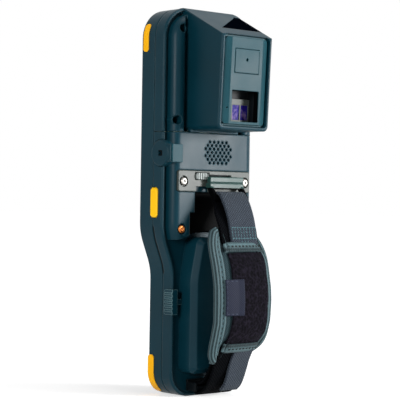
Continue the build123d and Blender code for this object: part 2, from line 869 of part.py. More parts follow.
def scan_engine():
    """The laser engine on its two ledges, with a sloping mirror face under the window."""
    half = half_pod - pod_wall - joint_gap
    low = engine_top - engine_height
    body = block((-half, half), (back_y + 0.5, back_y + engine_depth), (low, engine_top))
    slope = bar(
        make_face(Polyline(
            (back_y + engine_depth / 2, engine_top + 1),
            (back_y + engine_depth + 1, engine_top + 1),
            (back_y + engine_depth + 1, engine_top - engine_height / 2),
            close=True,
        )),
        -half + pod_wall,
        half - pod_wall,
    )
    return body - slope


# --- Front nodes ---


def display_glass():
    sheet = Pos(0, glass_centre_height) * Rectangle(glass_width, glass_height)
    return prism(sheet, glass_front_y, glass_front_y + glass_thickness)


def lcd_module():
    start = glass_front_y + glass_thickness + seat_gap
    sheet = Pos(0, glass_centre_height) * Rectangle(glass_width - bezel_lap, glass_height - bezel_lap)
    return prism(sheet, start, min(start + module_thickness, board_front_y - seat_gap))


def main_board():
    sheet = outline(wall + 2 * joint_gap)
    board = prism(sheet, board_front_y, board_front_y + board_thickness)
    for spot in pod_screw_spots + (plate_screw_spot, casing_screw_spot):
        for x, z in both_sides(spot):
            board -= post_y(screw_shank_radius + seat_gap, x, z, -far, far, 8)
    for sign in (1, -1):
        board -= trigger_slot(sign)
    return board


def keypad_board():
    start = front_y + wall + joint_gap + key_flange_thickness + key_travel + joint_gap + seat_gap
    half = half_handle - wall - joint_gap
    sheet = Pos(0, (flare_height + bottom_corner_radius) / 2) * Rectangle(
        2 * half, flare_height - bottom_corner_radius
    )
    return prism(sheet, start, start + keypad_board_thickness)


def key(x, z, width, height, corner):
    cap = clipped(width, height, corner)
    base = Rectangle(width + 2 * key_flange, height + 2 * key_flange)
    back = front_y + wall + joint_gap
    body = prism(Pos(x, z) * cap, front_y - key_rise, back)
    body = body.chamfer(key_edge_chamfer, None, body.faces().sort_by(Axis.Y)[0].edges())
    return body + prism(Pos(x, z) * base, back, back + key_flange_thickness)


# --- Side nodes ---


def trigger(x_sign):
    cap = clipped(trigger_width, trigger_length, trigger_corner)
    base = Rectangle(trigger_width, trigger_length + 2 * trigger_flange)
    place = Pos(trigger_centre_depth, trigger_centre_height)
    inner = half_head - wall - joint_gap
    body = bar(place * cap, inner - trigger_flange_thickness, half_head + trigger_rise)
    body = body.chamfer(trigger_edge_chamfer, None, body.faces().sort_by(Axis.X)[-1].edges())
    body += bar(place * base, inner - trigger_flange_thickness, inner)
    return body if x_sign > 0 else mirror(body, Plane.YZ)


def port_cap():
    face = port_face_x()
    disc = pin_x(port_cap_radius, port_centre_depth, port_height, face, face + port_cap_thickness)
    disc = disc.chamfer(port_cap_bevel, None, disc.faces().sort_by(Axis.X)[-1].edges())
    half = port_tab_width / 2
    lug = block(
        (face, face + port_cap_thickness - port_cap_bevel),
        (port_centre_depth + port_cap_radius * 0.6, port_tab_back()),
        (port_height - half, port_height + half),
    )
    place = Pos(port_centre_depth, port_height)
    plug = bar(place * RegularPolygon(port_hole_radius - joint_gap, 16), face - port_plug_depth, face)
    eye = bar(place * RegularPolygon(port_eye_radius, 12), 0, far)
    return disc + lug + plug - eye


def port_tab():
    end = port_face_x() - joint_gap
    half = port_tab_width / 2
    return block(
        (end - port_tab_length, end),
        (port_tab_back() - port_tab_thickness, port_tab_back()),
        (port_height - half, port_height + half),
    )


def port_socket():
    end = port_face_x() - joint_gap
    low = end - port_hole_depth + seat_gap
    high = end - port_plug_depth - joint_gap
    place = Pos(port_centre_depth, port_height)
    body = bar(place * RegularPolygon(port_hole_radius - seat_gap, 16), low, high)
    body -= bar(place * RegularPolygon(port_hole_radius * 0.6, 16), low + 1, high + 1)
    return body + bar(place * RegularPolygon(port_hole_radius * 0.2, 8), low, high - 0.5)


# --- Back nodes ---


def speaker():
    end = back_y - wall - seat_gap
    front = end - speaker_thickness
    body = post_y(speaker_radius, speaker_offset, speaker_height, front, end, 24)
    magnet = post_y(speaker_radius / 2, speaker_offset, speaker_height, front - speaker_magnet, end)
    return body + magnet


def strap_plate():
    low = back_y - plate_sink
    high = low + plate_thickness
    plate = prism(plate_rectangle(), low, high)
    plate = plate.chamfer(0.3, None, plate.faces().sort_by(Axis.Y)[-1].edges())
    knob_room = Pos(latch_knob_offset - latch_travel / 2, latch_height) * Rectangle(
        latch_knob_length + latch_travel + 2 * joint_gap, latch_knob_height + 2 * joint_gap
    )
    slot_length = latch_tongue_length + latch_travel + joint_gap
    slot_end = latch_knob_offset - latch_knob_length / 2
    slot = Pos(slot_end - slot_length / 2, latch_height) * Rectangle(
        slot_length, latch_tongue_height + 2 * joint_gap
    )
    notch_height = plate_height / 4
    notch = Pos(latch_knob_offset - 1, plate_centre_height - plate_height / 2) * Rectangle(
        latch_knob_length + 1, 2 * notch_height
    )
    plate -= prism(knob_room, low - 1, high + 1)
    plate -= prism(slot, low - 1, high + 1)
    plate -= prism(notch, low - 1, high + 1)
    for x, z in both_sides(plate_screw_spot):
        plate -= post_y(screw_recess_radius, x, z, low + seat_gap, high + 1, 20)
        plate -= post_y(screw_shank_radius + seat_gap, x, z, low - 1, high + 1, 8)
    return plate


def latch_slider():
    low = back_y - plate_sink
    high = low + plate_thickness
    base_height = latch_knob_height + 2 * joint_gap + 0.6
    base = Pos(latch_knob_offset, latch_height) * Rectangle(latch_knob_length, base_height)
    bottom = low - latch_base_thickness - seat_gap
    body = prism(base, bottom, low - seat_gap)
    knob = Pos(latch_knob_offset, latch_height) * RectangleRounded(
        latch_knob_length, latch_knob_height, latch_knob_height / 3
    )
    body += prism(knob, low - seat_gap, high + latch_knob_rise)
    start = latch_knob_offset - latch_knob_length / 2 - latch_tongue_length
    tongue = Pos((start + latch_knob_offset) / 2, latch_height) * Rectangle(
        latch_knob_offset - start, latch_tongue_height
    )
    body += prism(tongue, bottom, high - 0.5)
    pitch = latch_knob_length / (latch_ridge_count + 1)
    for i in range(latch_ridge_count + 1):
        x = latch_knob_offset + (i - latch_ridge_count / 2) * pitch
        cut = Pos(x, latch_height) * Rectangle(pitch * 0.35, latch_knob_height + 1)
        body -= prism(cut, high + latch_knob_rise - 0.4, high + latch_knob_rise + 1)
    return body


def strap_bracket():
    """The strap's upper link: two ridges on the plate and two arms that hold the crossbar."""
    seat = back_y - plate_sink + plate_thickness + seat_gap
    front = seat + bracket_reach
    low_x = bracket_offset - bracket_width / 2
    high_x = bracket_offset + bracket_width / 2
    lower_z = plate_centre_height - plate_height / 2 + bracket_ridge
    upper_z = lower_z + bracket_ridge + 0.2
    ridge = clipped(bracket_reach, bracket_ridge, 0.5)
    bracket = bar(Pos((seat + front) / 2, lower_z) * ridge, low_x, high_x)
    raised = latch_knob_rise + joint_gap
    upper = clipped(bracket_reach - raised, bracket_ridge, 0.5)
    bracket += bar(Pos((seat + raised + front) / 2, upper_z) * upper, low_x, high_x)
    bracket += bar(
        Pos((seat + raised + front) / 2, (lower_z + upper_z) / 2) * Rectangle(1.2, bracket_ridge),
        low_x,
        high_x,
    )
    start_y = (seat + front) / 2
    run_y = upper_bar_depth - start_y
    run_z = upper_bar_height - lower_z
    angle = math.degrees(math.atan2(run_z, run_y))
    middle = Pos(start_y + run_y / 2, lower_z + run_z / 2)
    arm = middle * Rot(0, 0, angle) * SlotCenterToCenter(math.hypot(run_y, run_z), bracket_arm_width)
    bracket += bar(arm, low_x, low_x + bracket_arm) + bar(arm, high_x - bracket_arm, high_x)
    return bracket + pin_x(crossbar_radius, upper_bar_depth, upper_bar_height, low_x, high_x)


def strap_anchor():
    """The strap's lower link on the floor beside the battery's end."""
    half = lower_webbing_width / 2 + joint_gap
    base_y = floor_y + seat_gap
    low_z = anchor_bar_height - anchor_ear_width / 2 + 0.7
    base = block(
        (anchor_offset - half - anchor_ear, anchor_offset + half + anchor_ear),
        (base_y, base_y + anchor_base_thickness),
        (low_z, low_z + anchor_ear_width + 1.5),
    )
    link = base
    ear_back = anchor_bar_depth + crossbar_radius
    for sign in (1, -1):
        inner = anchor_offset + sign * half
        span = sorted((inner, inner + sign * anchor_ear))
        link += block(span, (base_y, ear_back), (low_z, low_z + anchor_ear_width))
    return link + pin_x(
        crossbar_radius, anchor_bar_depth, anchor_bar_height, anchor_offset - half, anchor_offset + half
    )


def arc_band(start, middle, end, thickness):
    """A curved strip of even thickness whose middle line is an arc through three points."""
    (ax, ay), (bx, by), (cx, cy) = start, middle, end
    d = 2 * (ax * (by - cy) + bx * (cy - ay) + cx * (ay - by))
    ux = ((ax**2 + ay**2) * (by - cy) + (bx**2 + by**2) * (cy - ay) + (cx**2 + cy**2) * (ay - by)) / d
    uy = ((ax**2 + ay**2) * (cx - bx) + (bx**2 + by**2) * (ax - cx) + (cx**2 + cy**2) * (bx - ax)) / d
    centre = Vector(ux, uy)

    def shifted(point, amount):
        ray = Vector(*point) - centre
        return Vector(*point) + ray.normalized() * amount

    half = thickness / 2
    outer = [shifted(p, half) for p in (start, middle, end)]
    inner = [shifted(p, -half) for p in (end, middle, start)]
    return make_face([
        ThreePointArc(*outer),
        Line(outer[2], inner[0]),
        ThreePointArc(*inner),
        Line(inner[2], outer[0]),
    ])


def webbing_loop(depth, height, x_low, x_high, thickness):
    """The webbing's turn round a crossbar."""
    inner = crossbar_radius + webbing_gap
    ring = Circle(inner + thickness) - Circle(inner)
    return bar(Pos(depth, height) * ring, x_low, x_high)


def strap_upper():
    low = bracket_offset - upper_webbing_width / 2
    high = low + upper_webbing_width
    reach = crossbar_radius + webbing_gap + webbing_thickness / 2
    start = (upper_bar_depth + reach * 0.7, upper_bar_height - reach * 0.7)
    end = (pad_top_depth, pad_top_height - webbing_thickness)
    middle = ((start[0] + end[0]) / 2 + 1.2, (start[1] + end[1]) / 2 + 0.8)
    band = bar(arc_band(start, middle, end, 2 * webbing_thickness), low, high)
    band -= block((-far, far), (-far, far), (0, pad_top_height + webbing_gap))
    band += webbing_loop(upper_bar_depth, upper_bar_height, low, high, webbing_thickness)
    return band - pin_x(crossbar_radius + webbing_gap, upper_bar_depth, upper_bar_height, -far, far)


def hand_pad():
    start = (pad_top_depth, pad_top_height)
    middle = (pad_middle_depth, pad_middle_height)
    end = (pad_bottom_depth, pad_bottom_height)
    start = (start[0] - pad_overrun, start[1] + 2 * pad_overrun)
    end = (end[0] - 2 * pad_overrun, end[1] - 2 * pad_overrun)
    pad = bar(arc_band(start, middle, end, pad_thickness), -pad_width, pad_width)
    half = pad_width / 2
    right = [
        (pad_bottom_width / 2, pad_bottom_height),
        (half, pad_bottom_height + pad_bottom_taper),
        (half, pad_top_height - pad_top_taper),
        (pad_top_width / 2, pad_top_height),
    ]
    left = [(-x, z) for x, z in reversed(right)]
    radii = [pad_corner, 2 * pad_corner, 2 * pad_corner, pad_corner]
    face = make_face(FilletPolyline(*right, *left, radius=radii + radii[::-1], close=True))
    return pad & prism(Pos(pad_offset, 0) * face, 0, far / 4)


def strap_lower():
    half = lower_webbing_width / 2
    reach = crossbar_radius + webbing_gap + lower_webbing_thickness / 2
    start = (anchor_bar_depth + reach * 0.5, anchor_bar_height - reach * 0.75)
    end = (pad_bottom_depth, pad_bottom_height + webbing_thickness)
    middle = ((start[0] + end[0]) / 2 + 2.6, (start[1] + end[1]) / 2 - 2.4)
    low = anchor_offset - half
    band = bar(arc_band(start, middle, end, 2 * webbing_thickness), low, low + 2 * half)
    band -= block((-far, far), (-far, far), (pad_bottom_height - webbing_gap, far))
    band += webbing_loop(anchor_bar_depth, anchor_bar_height, low, low + 2 * half, lower_webbing_thickness)
    return band - pin_x(crossbar_radius + webbing_gap, anchor_bar_depth, anchor_bar_height, -far, far)


def battery_sketch():
    half = battery_width / 2
    neck = battery_neck_width / 2
    right = [(half, battery_bottom), (half, battery_shoulder_height), (neck, battery_top)]
    left = [(-x, z) for x, z in reversed(right)]
    radii = [battery_corner, battery_bend, battery_neck_corner]
    return make_face(FilletPolyline(*right, *left, radius=radii + radii[::-1], close=True))


def battery_pack():
    pack = prism(battery_sketch(), floor_y + seat_gap, battery_depth)
    pack = pack.chamfer(battery_edge_chamfer, None, pack.faces().sort_by(Axis.Y)[-1].edges())
    room = Pos(0, contact_centre_height) * Rectangle(contact_width + 1, contact_height + 1)
    pack -= prism(room, 0, floor_y + seat_gap + contact_rise + joint_gap)
    low = lock_tongue_low() - joint_gap
    high = low + lock_tongue_height + lock_travel + 2 * joint_gap
    notch = block(
        (battery_width / 2 - lock_bite, far),
        (0, lock_tongue_back() + joint_gap),
        (low, high),
    )
    return pack - notch


def contact_block():
    sheet = Pos(0, contact_centre_height) * Rectangle(contact_width, contact_height)
    body = prism(sheet, ceiling_y - 0.5, floor_y)
    pitch = contact_width / contact_blades
    for i in range(contact_blades):
        x = (i - (contact_blades - 1) / 2) * pitch
        blade = Pos(x, contact_centre_height) * Rectangle(pitch / 3, contact_height - 1)
        body += prism(blade, floor_y - 0.5, floor_y + contact_rise)
    return body


def lock_tongue_low():
    return lock_centre_height - lock_tongue_height / 2


def lock_tongue_back():
    return rim_y - lock_running_gap


def battery_lock():
    """A ribbed thumb slide that straddles the rim, with a tongue that bites into the battery."""
    outside = half_handle + lock_running_gap
    inside = half_handle - rim_width - lock_running_gap
    bridge_y = rim_y + lock_running_gap
    low = lock_centre_height - lock_length / 2
    span = (low, low + lock_length)
    body = block((outside, outside + lock_thickness), (lock_low_depth, lock_high_depth), span)
    body = rounded(body, body.edges().filter_by(Axis.X).group_by(Axis.Y)[0], 1.5)
    body += block((inside - lock_thickness, outside + 0.2), (bridge_y, lock_high_depth), span)
    body += block((inside - lock_thickness, inside), (floor_y + joint_gap, bridge_y + 0.2), span)
    pitch = lock_length / (lock_rib_count + 1)
    for i in range(lock_rib_count):
        z = lock_centre_height + (i - (lock_rib_count - 1) / 2) * pitch
        body += block(
            (outside + lock_thickness - 0.1, outside + lock_thickness + lock_rib_rise),
            (lock_low_depth + 1, lock_high_depth),
            (z - pitch / 4, z + pitch / 4),
        )
    tip = battery_width / 2 - lock_bite + joint_gap
    tongue_low = lock_tongue_low()
    body += block(
        (tip, inside - lock_thickness + 0.2),
        (floor_y + joint_gap, lock_tongue_back()),
        (tongue_low, tongue_low + lock_tongue_height),
    )
    return body


# --- Screws ---


def screw(x, z, head_y, length):
    """A pan-head screw whose head starts at head_y and whose shank runs towards the front."""
    head = post_y(screw_head_radius, x, z, head_y, head_y + screw_head_height)
    shank = post_y(screw_shank_radius, x, z, head_y - length, head_y, 8)
    socket = prism(
        Pos(x, z) * RegularPolygon(screw_socket_radius, 6),
        head_y + screw_head_height - screw_socket_depth,
        head_y + far,
    )
    return head + shank - socket


def screw_group(spots, head_y):
    """Identical screws as one group of separate solids."""
    length = head_y - front_y - 3 * wall
    return Compound(children=[screw(x, z, head_y, length) for spot in spots for x, z in both_sides(spot)])


def build_all():
    save(front_housing(), "front_housing")
    save(back_housing(), "back_housing")
    save(scanner_pod(), "scanner_pod")
    save(gasket(), "housing_gasket")
    save(pod_face_plate(), "pod_face_plate")
    save(service_cover(), "service_cover")
    save(imager_tunnel(), "imager_tunnel")
    save(imager_frame(), "imager_frame")
    save(imager_panes(), "imager_panes")
    save(scan_window(), "scan_window")
    save(scan_engine(), "scan_engine")
    save(display_glass(), "display_glass")
    save(lcd_module(), "lcd_module")
    save(main_board(), "main_board")
    save(keypad_board(), "keypad_board")
    for name, x, z, width, height, corner in key_spots():
        save(key(x, z, width, height, corner), name)
    for side, sign in (("left", 1), ("right", -1)):
        save(trigger(sign), f"trigger_{side}")
        for name, span, outer, inset in insert_spans():
            save(insert_solid(span, outer, inset, sign), f"{name}_{side}")
    save(port_cap(), "port_cap")
    save(port_tab(), "port_tab")
    save(port_socket(), "port_socket")
    save(speaker(), "speaker")
    save(strap_plate(), "strap_plate")
    save(latch_slider(), "latch_slider")
    save(strap_bracket(), "strap_bracket")
    save(strap_anchor(), "strap_anchor")
    save(strap_upper(), "strap_upper")
    save(hand_pad(), "hand_pad")
    save(strap_lower(), "strap_lower")
    save(battery_pack(), "battery_pack")
    save(contact_block(), "contact_block")
    save(battery_lock(), "battery_lock")
    save(screw_group(pod_screw_spots, back_y - pod_screw_well_depth), "pod_screws")
    save(screw_group((plate_screw_spot,), back_y - plate_sink + seat_gap), "plate_screws")
    save(screw_group((casing_screw_spot,), back_y - screw_recess_depth), "casing_screws")


build_all()
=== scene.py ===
import json
import math
import random

import bmesh
import bpy
from mathutils import Matrix, Vector, noise
from mathutils.bvhtree import BVHTree


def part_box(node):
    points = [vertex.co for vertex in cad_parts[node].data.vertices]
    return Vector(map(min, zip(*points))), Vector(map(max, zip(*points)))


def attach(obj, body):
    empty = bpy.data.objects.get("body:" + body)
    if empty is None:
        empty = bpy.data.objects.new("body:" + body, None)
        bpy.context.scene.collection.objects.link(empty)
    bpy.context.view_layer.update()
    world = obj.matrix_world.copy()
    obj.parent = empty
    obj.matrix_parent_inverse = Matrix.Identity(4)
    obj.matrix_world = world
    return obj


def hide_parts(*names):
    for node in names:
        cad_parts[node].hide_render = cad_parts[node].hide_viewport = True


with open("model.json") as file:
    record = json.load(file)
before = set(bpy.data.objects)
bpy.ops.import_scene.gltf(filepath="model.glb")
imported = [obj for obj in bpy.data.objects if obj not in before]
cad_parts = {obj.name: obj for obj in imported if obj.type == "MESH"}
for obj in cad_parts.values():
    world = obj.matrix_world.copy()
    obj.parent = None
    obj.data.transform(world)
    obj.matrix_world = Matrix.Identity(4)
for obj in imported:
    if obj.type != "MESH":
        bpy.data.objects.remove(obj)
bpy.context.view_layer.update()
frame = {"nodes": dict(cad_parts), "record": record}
nodes = frame["nodes"]
scene = bpy.context.scene
mm = 0.001
print("stage: frame loaded")


def addObject(name, data):
    found = bpy.data.objects.new(name, data)
    scene.collection.objects.link(found)
    return found


# camera, behind the terminal and to its left, almost level: degrees, metres, focal length and sensor in mm
camera = {"azimuth": 41.603, "elevation": -0.167, "roll": 0.881, "place": (0.53800, 0.60942, 0.10387),
          "focal": 132.683, "sensor": 36, "nearest": 0.01}


def placeCamera():
    azimuth, elevation, roll = (math.radians(camera[key]) for key in ("azimuth", "elevation", "roll"))
    back = Vector((math.sin(azimuth) * math.cos(elevation), math.cos(azimuth) * math.cos(elevation),
                   math.sin(elevation)))
    right = (-back).cross(Vector((0, 0, 1))).normalized()
    up = right.cross(-back)
    across = right * math.cos(roll) + up * math.sin(roll)
    upward = up * math.cos(roll) - right * math.sin(roll)
    data = bpy.data.cameras.new("studioCamera")
    data.lens = camera["focal"]
    data.sensor_width = camera["sensor"]
    data.clip_start = camera["nearest"]
    found = addObject("studioCamera", data)
    turn = Matrix((across, upward, back)).transposed().to_4x4()
    found.matrix_world = Matrix.Translation(camera["place"]) @ turn
    scene.camera = found


placeCamera()
scene.view_settings.view_transform = "Standard"


def toLinear(hexText):
    parts = [int(hexText[i:i + 2], 16) / 255 for i in (1, 3, 5)]
    return tuple(c / 12.92 if c <= 0.04045 else ((c + 0.055) / 1.055) ** 2.4 for c in parts) + (1.0,)


def joinUp(tree, node, links):
    # a node that is named as a source stands for its first output
    for key, source in links.items():
        if isinstance(source, bpy.types.Node):
            source = source.outputs[0]
        tree.links.new(source, node.inputs[key])


def addNode(tree, kind, settings=None, links=None):
    node = tree.nodes.new("ShaderNode" + kind)
    for key, value in (settings or {}).items():
        if isinstance(key, str) and hasattr(node, key):
            setattr(node, key, value)
        else:
            node.inputs[key].default_value = value
    joinUp(tree, node, links or {})
    return node


def emptyTree(owner):
    owner.use_nodes = True
    owner.node_tree.nodes.clear()
    return owner.node_tree


def rowsOf(traits, rows):
    # a dictionary for each row, whose values stand in the order of the traits
    return {name: dict(zip(traits.split(), row)) for name, row in rows.items()}


# lamps: a large soft box behind on the right, whose sheen lies on the back, a strip near the camera
# for the rounded edges and the yellow bumpers, and a box overhead
lamps = rowsOf("place size watts", {
    "keyBox": ((-0.79, 1.03, 0.24), 0.36, 25.0),
    "edgeStrip": ((1.08, 0.48, 0.34), 0.30, 8.6),
    "topBox": ((-0.10, 0.30, 1.20), 0.60, 5.0),
})
# the floor's own light grows from the first distance to the second, so that the shadow stays and the
# far floor is white
studio = {"aim": (0, 0.01, 0.11), "ambient": 0.11, "floorColour": "#f4f4f4", "floorHeight": -0.0002,
          "floorSize": 12.0, "distances": (0.15, 0.8), "lifts": (0.55, 0.95)}


def seenRays(tree):
    # 1 where the camera sees this, also in metal and glass, and 0 where it gives light
    path = addNode(tree, "LightPath").outputs
    first = addNode(tree, "Math", {"operation": "MAXIMUM"},
                    {0: path["Is Camera Ray"], 1: path["Is Glossy Ray"]})
    return addNode(tree, "Math", {"operation": "MAXIMUM"}, {0: first, 1: path["Is Transmission Ray"]})


def lightStudio():
    for name, setup in lamps.items():
        data = bpy.data.lights.new(name, "AREA")
        data.shape = "SQUARE"
        data.size = setup["size"]
        data.energy = setup["watts"]
        way = Vector(studio["aim"]) - Vector(setup["place"])
        turn = way.to_track_quat("-Z", "Y").to_matrix().to_4x4()
        addObject(name, data).matrix_world = Matrix.Translation(setup["place"]) @ turn
    scene.world = bpy.data.worlds.new("studioWorld")
    tree = emptyTree(scene.world)
    level = addNode(tree, "MapRange", {"To Min": studio["ambient"], "To Max": 1.0}, {"Value": seenRays(tree)})
    sky = addNode(tree, "Background", {"Color": (1, 1, 1, 1)}, {"Strength": level})
    addNode(tree, "OutputWorld", None, {"Surface": sky})


def layFloor():
    bm = bmesh.new()
    bmesh.ops.create_grid(bm, x_segments=1, y_segments=1, size=studio["floorSize"])
    bmesh.ops.translate(bm, verts=bm.verts, vec=(0, 0, studio["floorHeight"]))
    mesh = bpy.data.meshes.new("studioFloor")
    bm.to_mesh(mesh)
    bm.free()
    floor = addObject("studioFloor", mesh)
    material = bpy.data.materials.new("paintedFloor")  # matt white paint that keeps the shadow
    tree = emptyTree(material)
    spot = addNode(tree, "TexCoord").outputs["Object"]
    away = addNode(tree, "VectorMath", {"operation": "LENGTH"}, {0: spot})
    (near, far), (low, high) = studio["distances"], studio["lifts"]
    grown = addNode(tree, "MapRange", {"From Min": near, "From Max": far, "To Min": low, "To Max": high},
                    {"Value": away.outputs["Value"]})
    lift = addNode(tree, "Math", {"operation": "MULTIPLY"}, {0: seenRays(tree), 1: grown})
    paint = addNode(tree, "BsdfDiffuse", {"Color": toLinear(studio["floorColour"])})
    glow = addNode(tree, "Emission", {"Color": (1, 1, 1, 1)}, {"Strength": lift})
    both = addNode(tree, "AddShader", None, {0: paint, 1: glow})
    addNode(tree, "OutputMaterial", None, {"Surface": both})
    mesh.materials.append(material)


lightStudio()
layFloor()
print("stage: camera, lamps and floor")

finishes = {}


def startMaterial(name, settings):
    # keeps the new material under its name, and gives its tree, shader and place on the object
    material = bpy.data.materials.new(name)
    finishes[name] = material
    tree = emptyTree(material)
    shader = addNode(tree, "BsdfPrincipled", settings)
    addNode(tree, "OutputMaterial", None, {"Surface": shader})
    return tree, shader, addNode(tree, "TexCoord").outputs["Object"]


def perMillimetre(size):
    return 1 / (size * mm)  # texture scale of a pattern whose features are this many mm apart


# moulded plastics: grain of the eroded mould, its depth and the radius of the moulded edges are in mm
plastics = rowsOf("colour worn roughness specular grain depth edge wear", {
    "mouldedPolycarbonate": ("#052b36", "#46656d", 0.38, 0.105, 0.9, 0.05, 1.1, 0.3),
    "mouldedFaceCover": ("#0d3841", "#5c7c82", 0.42, 0.085, 0.9, 0.06, 0.5, 0.3),
    "mouldedThumbGrip": ("#072e39", "#7fa6ab", 0.38, 0.14, 0.8, 0.05, 0.7, 1.1),
    "mouldedDarkNylon": ("#080d10", "#222b30", 0.45, 0.12, 0.8, 0.05, 0.4, 0.3),
    "mouldedGreyNylon": ("#3c423f", "#98a19e", 0.38, 0.16, 0.8, 0.05, 0.35, 0.5),
    "mouldedTealNylon": ("#203d3a", "#8fa9a8", 0.36, 0.20, 0.8, 0.05, 0.35, 0.5),
    "mouldedPaleNylon": ("#757e7c", "#b0b8b8", 0.38, 0.22, 0.8, 0.04, 0.3, 0.5),
    "mouldedYellowGrip": ("#ffb803", "#ffd86a", 0.4, 0.15, 1.0, 0.03, 0.5, 0.25),
    "mouldedYellowTrigger": ("#ffc604", "#ffe080", 0.34, 0.18, 1.0, 0.02, 0.5, 0.25),
    "mouldedKeySilicone": ("#20262a", "#3c4448", 0.55, 0.35, 0.8, 0.04, 0.5, 0.3),
    "mouldedSealRubber": ("#040606", "#101414", 0.7, 0.2, 0.6, 0.04, 0.2, 0.2),
})
# the same plastics with painted shade: matt black colour and almost no reflection inside a box, given by two
# corners in mm, where shade falls in the recess behind the strap, the slider's slot, the imager opening, the
# bracket's arms and the cap's hole
paintedShade = {"colour": "#040506", "specular": 0.01}
shadePaintedParts = rowsOf("node base low high", {
    "shadePaintedHousing": ("back_housing", "mouldedPolycarbonate", (-17.1, 9.0, 60.0), (17.1, 14.3, 110.5)),
    "shadePaintedSlider": ("latch_slider", "mouldedPaleNylon", (-11.0, 12.0, 115.0), (14.5, 15.3, 123.0)),
    "shadePaintedFacePlate": ("pod_face_plate", "mouldedFaceCover", (-9.9, 28.0, 148.0), (9.9, 38.0, 165.0)),
    "shadePaintedBracket": ("strap_bracket", "mouldedTealNylon", (-20.0, 10.0, 100.0), (20.0, 30.0, 112.9)),
    "shadePaintedPortCap": ("port_cap", "mouldedPolycarbonate", (30.0, 6.7, 129.4), (35.0, 9.9, 132.4)),
})


def boxMask(tree, place, low, high):
    # 1 inside the box with those corners in mm, 0 outside it
    middle = [(a + b) / 2 * mm for a, b in zip(low, high)]
    half = [(b - a) / 2 * mm for a, b in zip(low, high)]
    away = addNode(tree, "VectorMath", {"operation": "SUBTRACT", 1: middle}, {0: place})
    share = addNode(tree, "VectorMath", {"operation": "DIVIDE", 1: half}, {0: away})
    size = addNode(tree, "VectorMath", {"operation": "ABSOLUTE"}, {0: share})
    parts = addNode(tree, "SeparateXYZ", None, {"Vector": size}).outputs
    wide = addNode(tree, "Math", {"operation": "MAXIMUM"}, {0: parts[0], 1: parts[1]})
    most = addNode(tree, "Math", {"operation": "MAXIMUM"}, {0: wide, 1: parts[2]})
    return addNode(tree, "Math", {"operation": "LESS_THAN", 1: 1.0}, {0: most})


def mouldedFinish(name, look, shadeBox=None):
    # plastic or rubber out of a spark eroded mould: a fine even grain, softened edges, a paler colour on them
    # that is partly wear and partly painted highlight, and painted black shade inside an optional box
    tree, shader, place = startMaterial(name, {"Specular IOR Level": look["specular"]})
    # the real grain is about 0.15 mm and is drawn several times coarser, so that it shows
    grain = addNode(tree, "TexNoise", {"Scale": perMillimetre(look["grain"]), "Detail": 3.0},
                    {"Vector": place})
    cloud = addNode(tree, "TexNoise", {"Scale": perMillimetre(28), "Detail": 4.0}, {"Vector": place})
    softened = addNode(tree, "Bevel", {"samples": 6, "Radius": look["edge"] * mm})
    plain = addNode(tree, "NewGeometry").outputs["Normal"]
    alike = addNode(tree, "VectorMath", {"operation": "DOT_PRODUCT"}, {0: softened, 1: plain})
    # paler colour on the edges: partly wear, partly a painted highlight along the rims
    edge = addNode(tree, "MapRange", {"From Min": 0.995, "From Max": 0.86, "To Max": look["wear"]},
                   {"Value": alike.outputs["Value"]})
    wornAndHighlitEdges = addNode(tree, "Math", {"operation": "MULTIPLY"}, {0: edge, 1: cloud})
    shade = addNode(tree, "MapRange", {"From Min": 0.3, "From Max": 0.7, "To Min": 0.90, "To Max": 1.10},
                    {"Value": cloud})
    tone = addNode(tree, "HueSaturation", {"Color": toLinear(look["colour"])}, {"Value": shade})
    surface = addNode(tree, "Mix", {"data_type": "RGBA", 7: toLinear(look["worn"])},
                      {0: wornAndHighlitEdges, 6: tone}).outputs[2]
    # painted shade: inside the box the colour turns matt black and the reflection nearly goes
    if shadeBox:
        inShade = boxMask(tree, place, *shadeBox)
        surface = addNode(tree, "Mix", {"data_type": "RGBA", 7: toLinear(paintedShade["colour"])},
                          {0: inShade, 6: surface}).outputs[2]
        shadeSpecular = addNode(tree, "MapRange", {"To Min": look["specular"], "To Max": paintedShade["specular"]},
                       {"Value": inShade})
        joinUp(tree, shader, {"Specular IOR Level": shadeSpecular})
    gloss = addNode(tree, "MapRange", {"From Min": 0.3, "From Max": 0.7, "To Min": look["roughness"] - 0.05,
                                       "To Max": look["roughness"] + 0.06}, {"Value": cloud})
    bump = addNode(tree, "Bump", {"Strength": 0.5, "Distance": look["depth"] * mm},
                   {"Height": grain, "Normal": softened})
    joinUp(tree, shader, {"Base Color": surface, "Roughness": gloss, "Normal": bump})


for name, look in plastics.items():
    mouldedFinish(name, look)
for name, part in shadePaintedParts.items():
    mouldedFinish(name, plastics[part["base"]], (part["low"], part["high"]))

# metals: length of the machining lines and radius of the edges in mm
metals = rowsOf("colour roughness line edge", {
    "turnedSteel": ("#8a8883", 0.33, 2.0, 0.3),
    "turnedBrass": ("#b8703c", 0.34, 2.0, 0.3),
    # painted shade: near-black steel for the pod's screws, which stands for the shade in their deep holes
    "shadeDarkSteel": ("#101214", 0.4, 2.0, 0.2),
    "stampedAluminium": ("#b9bcc0", 0.35, 3.2, 0.2),
})


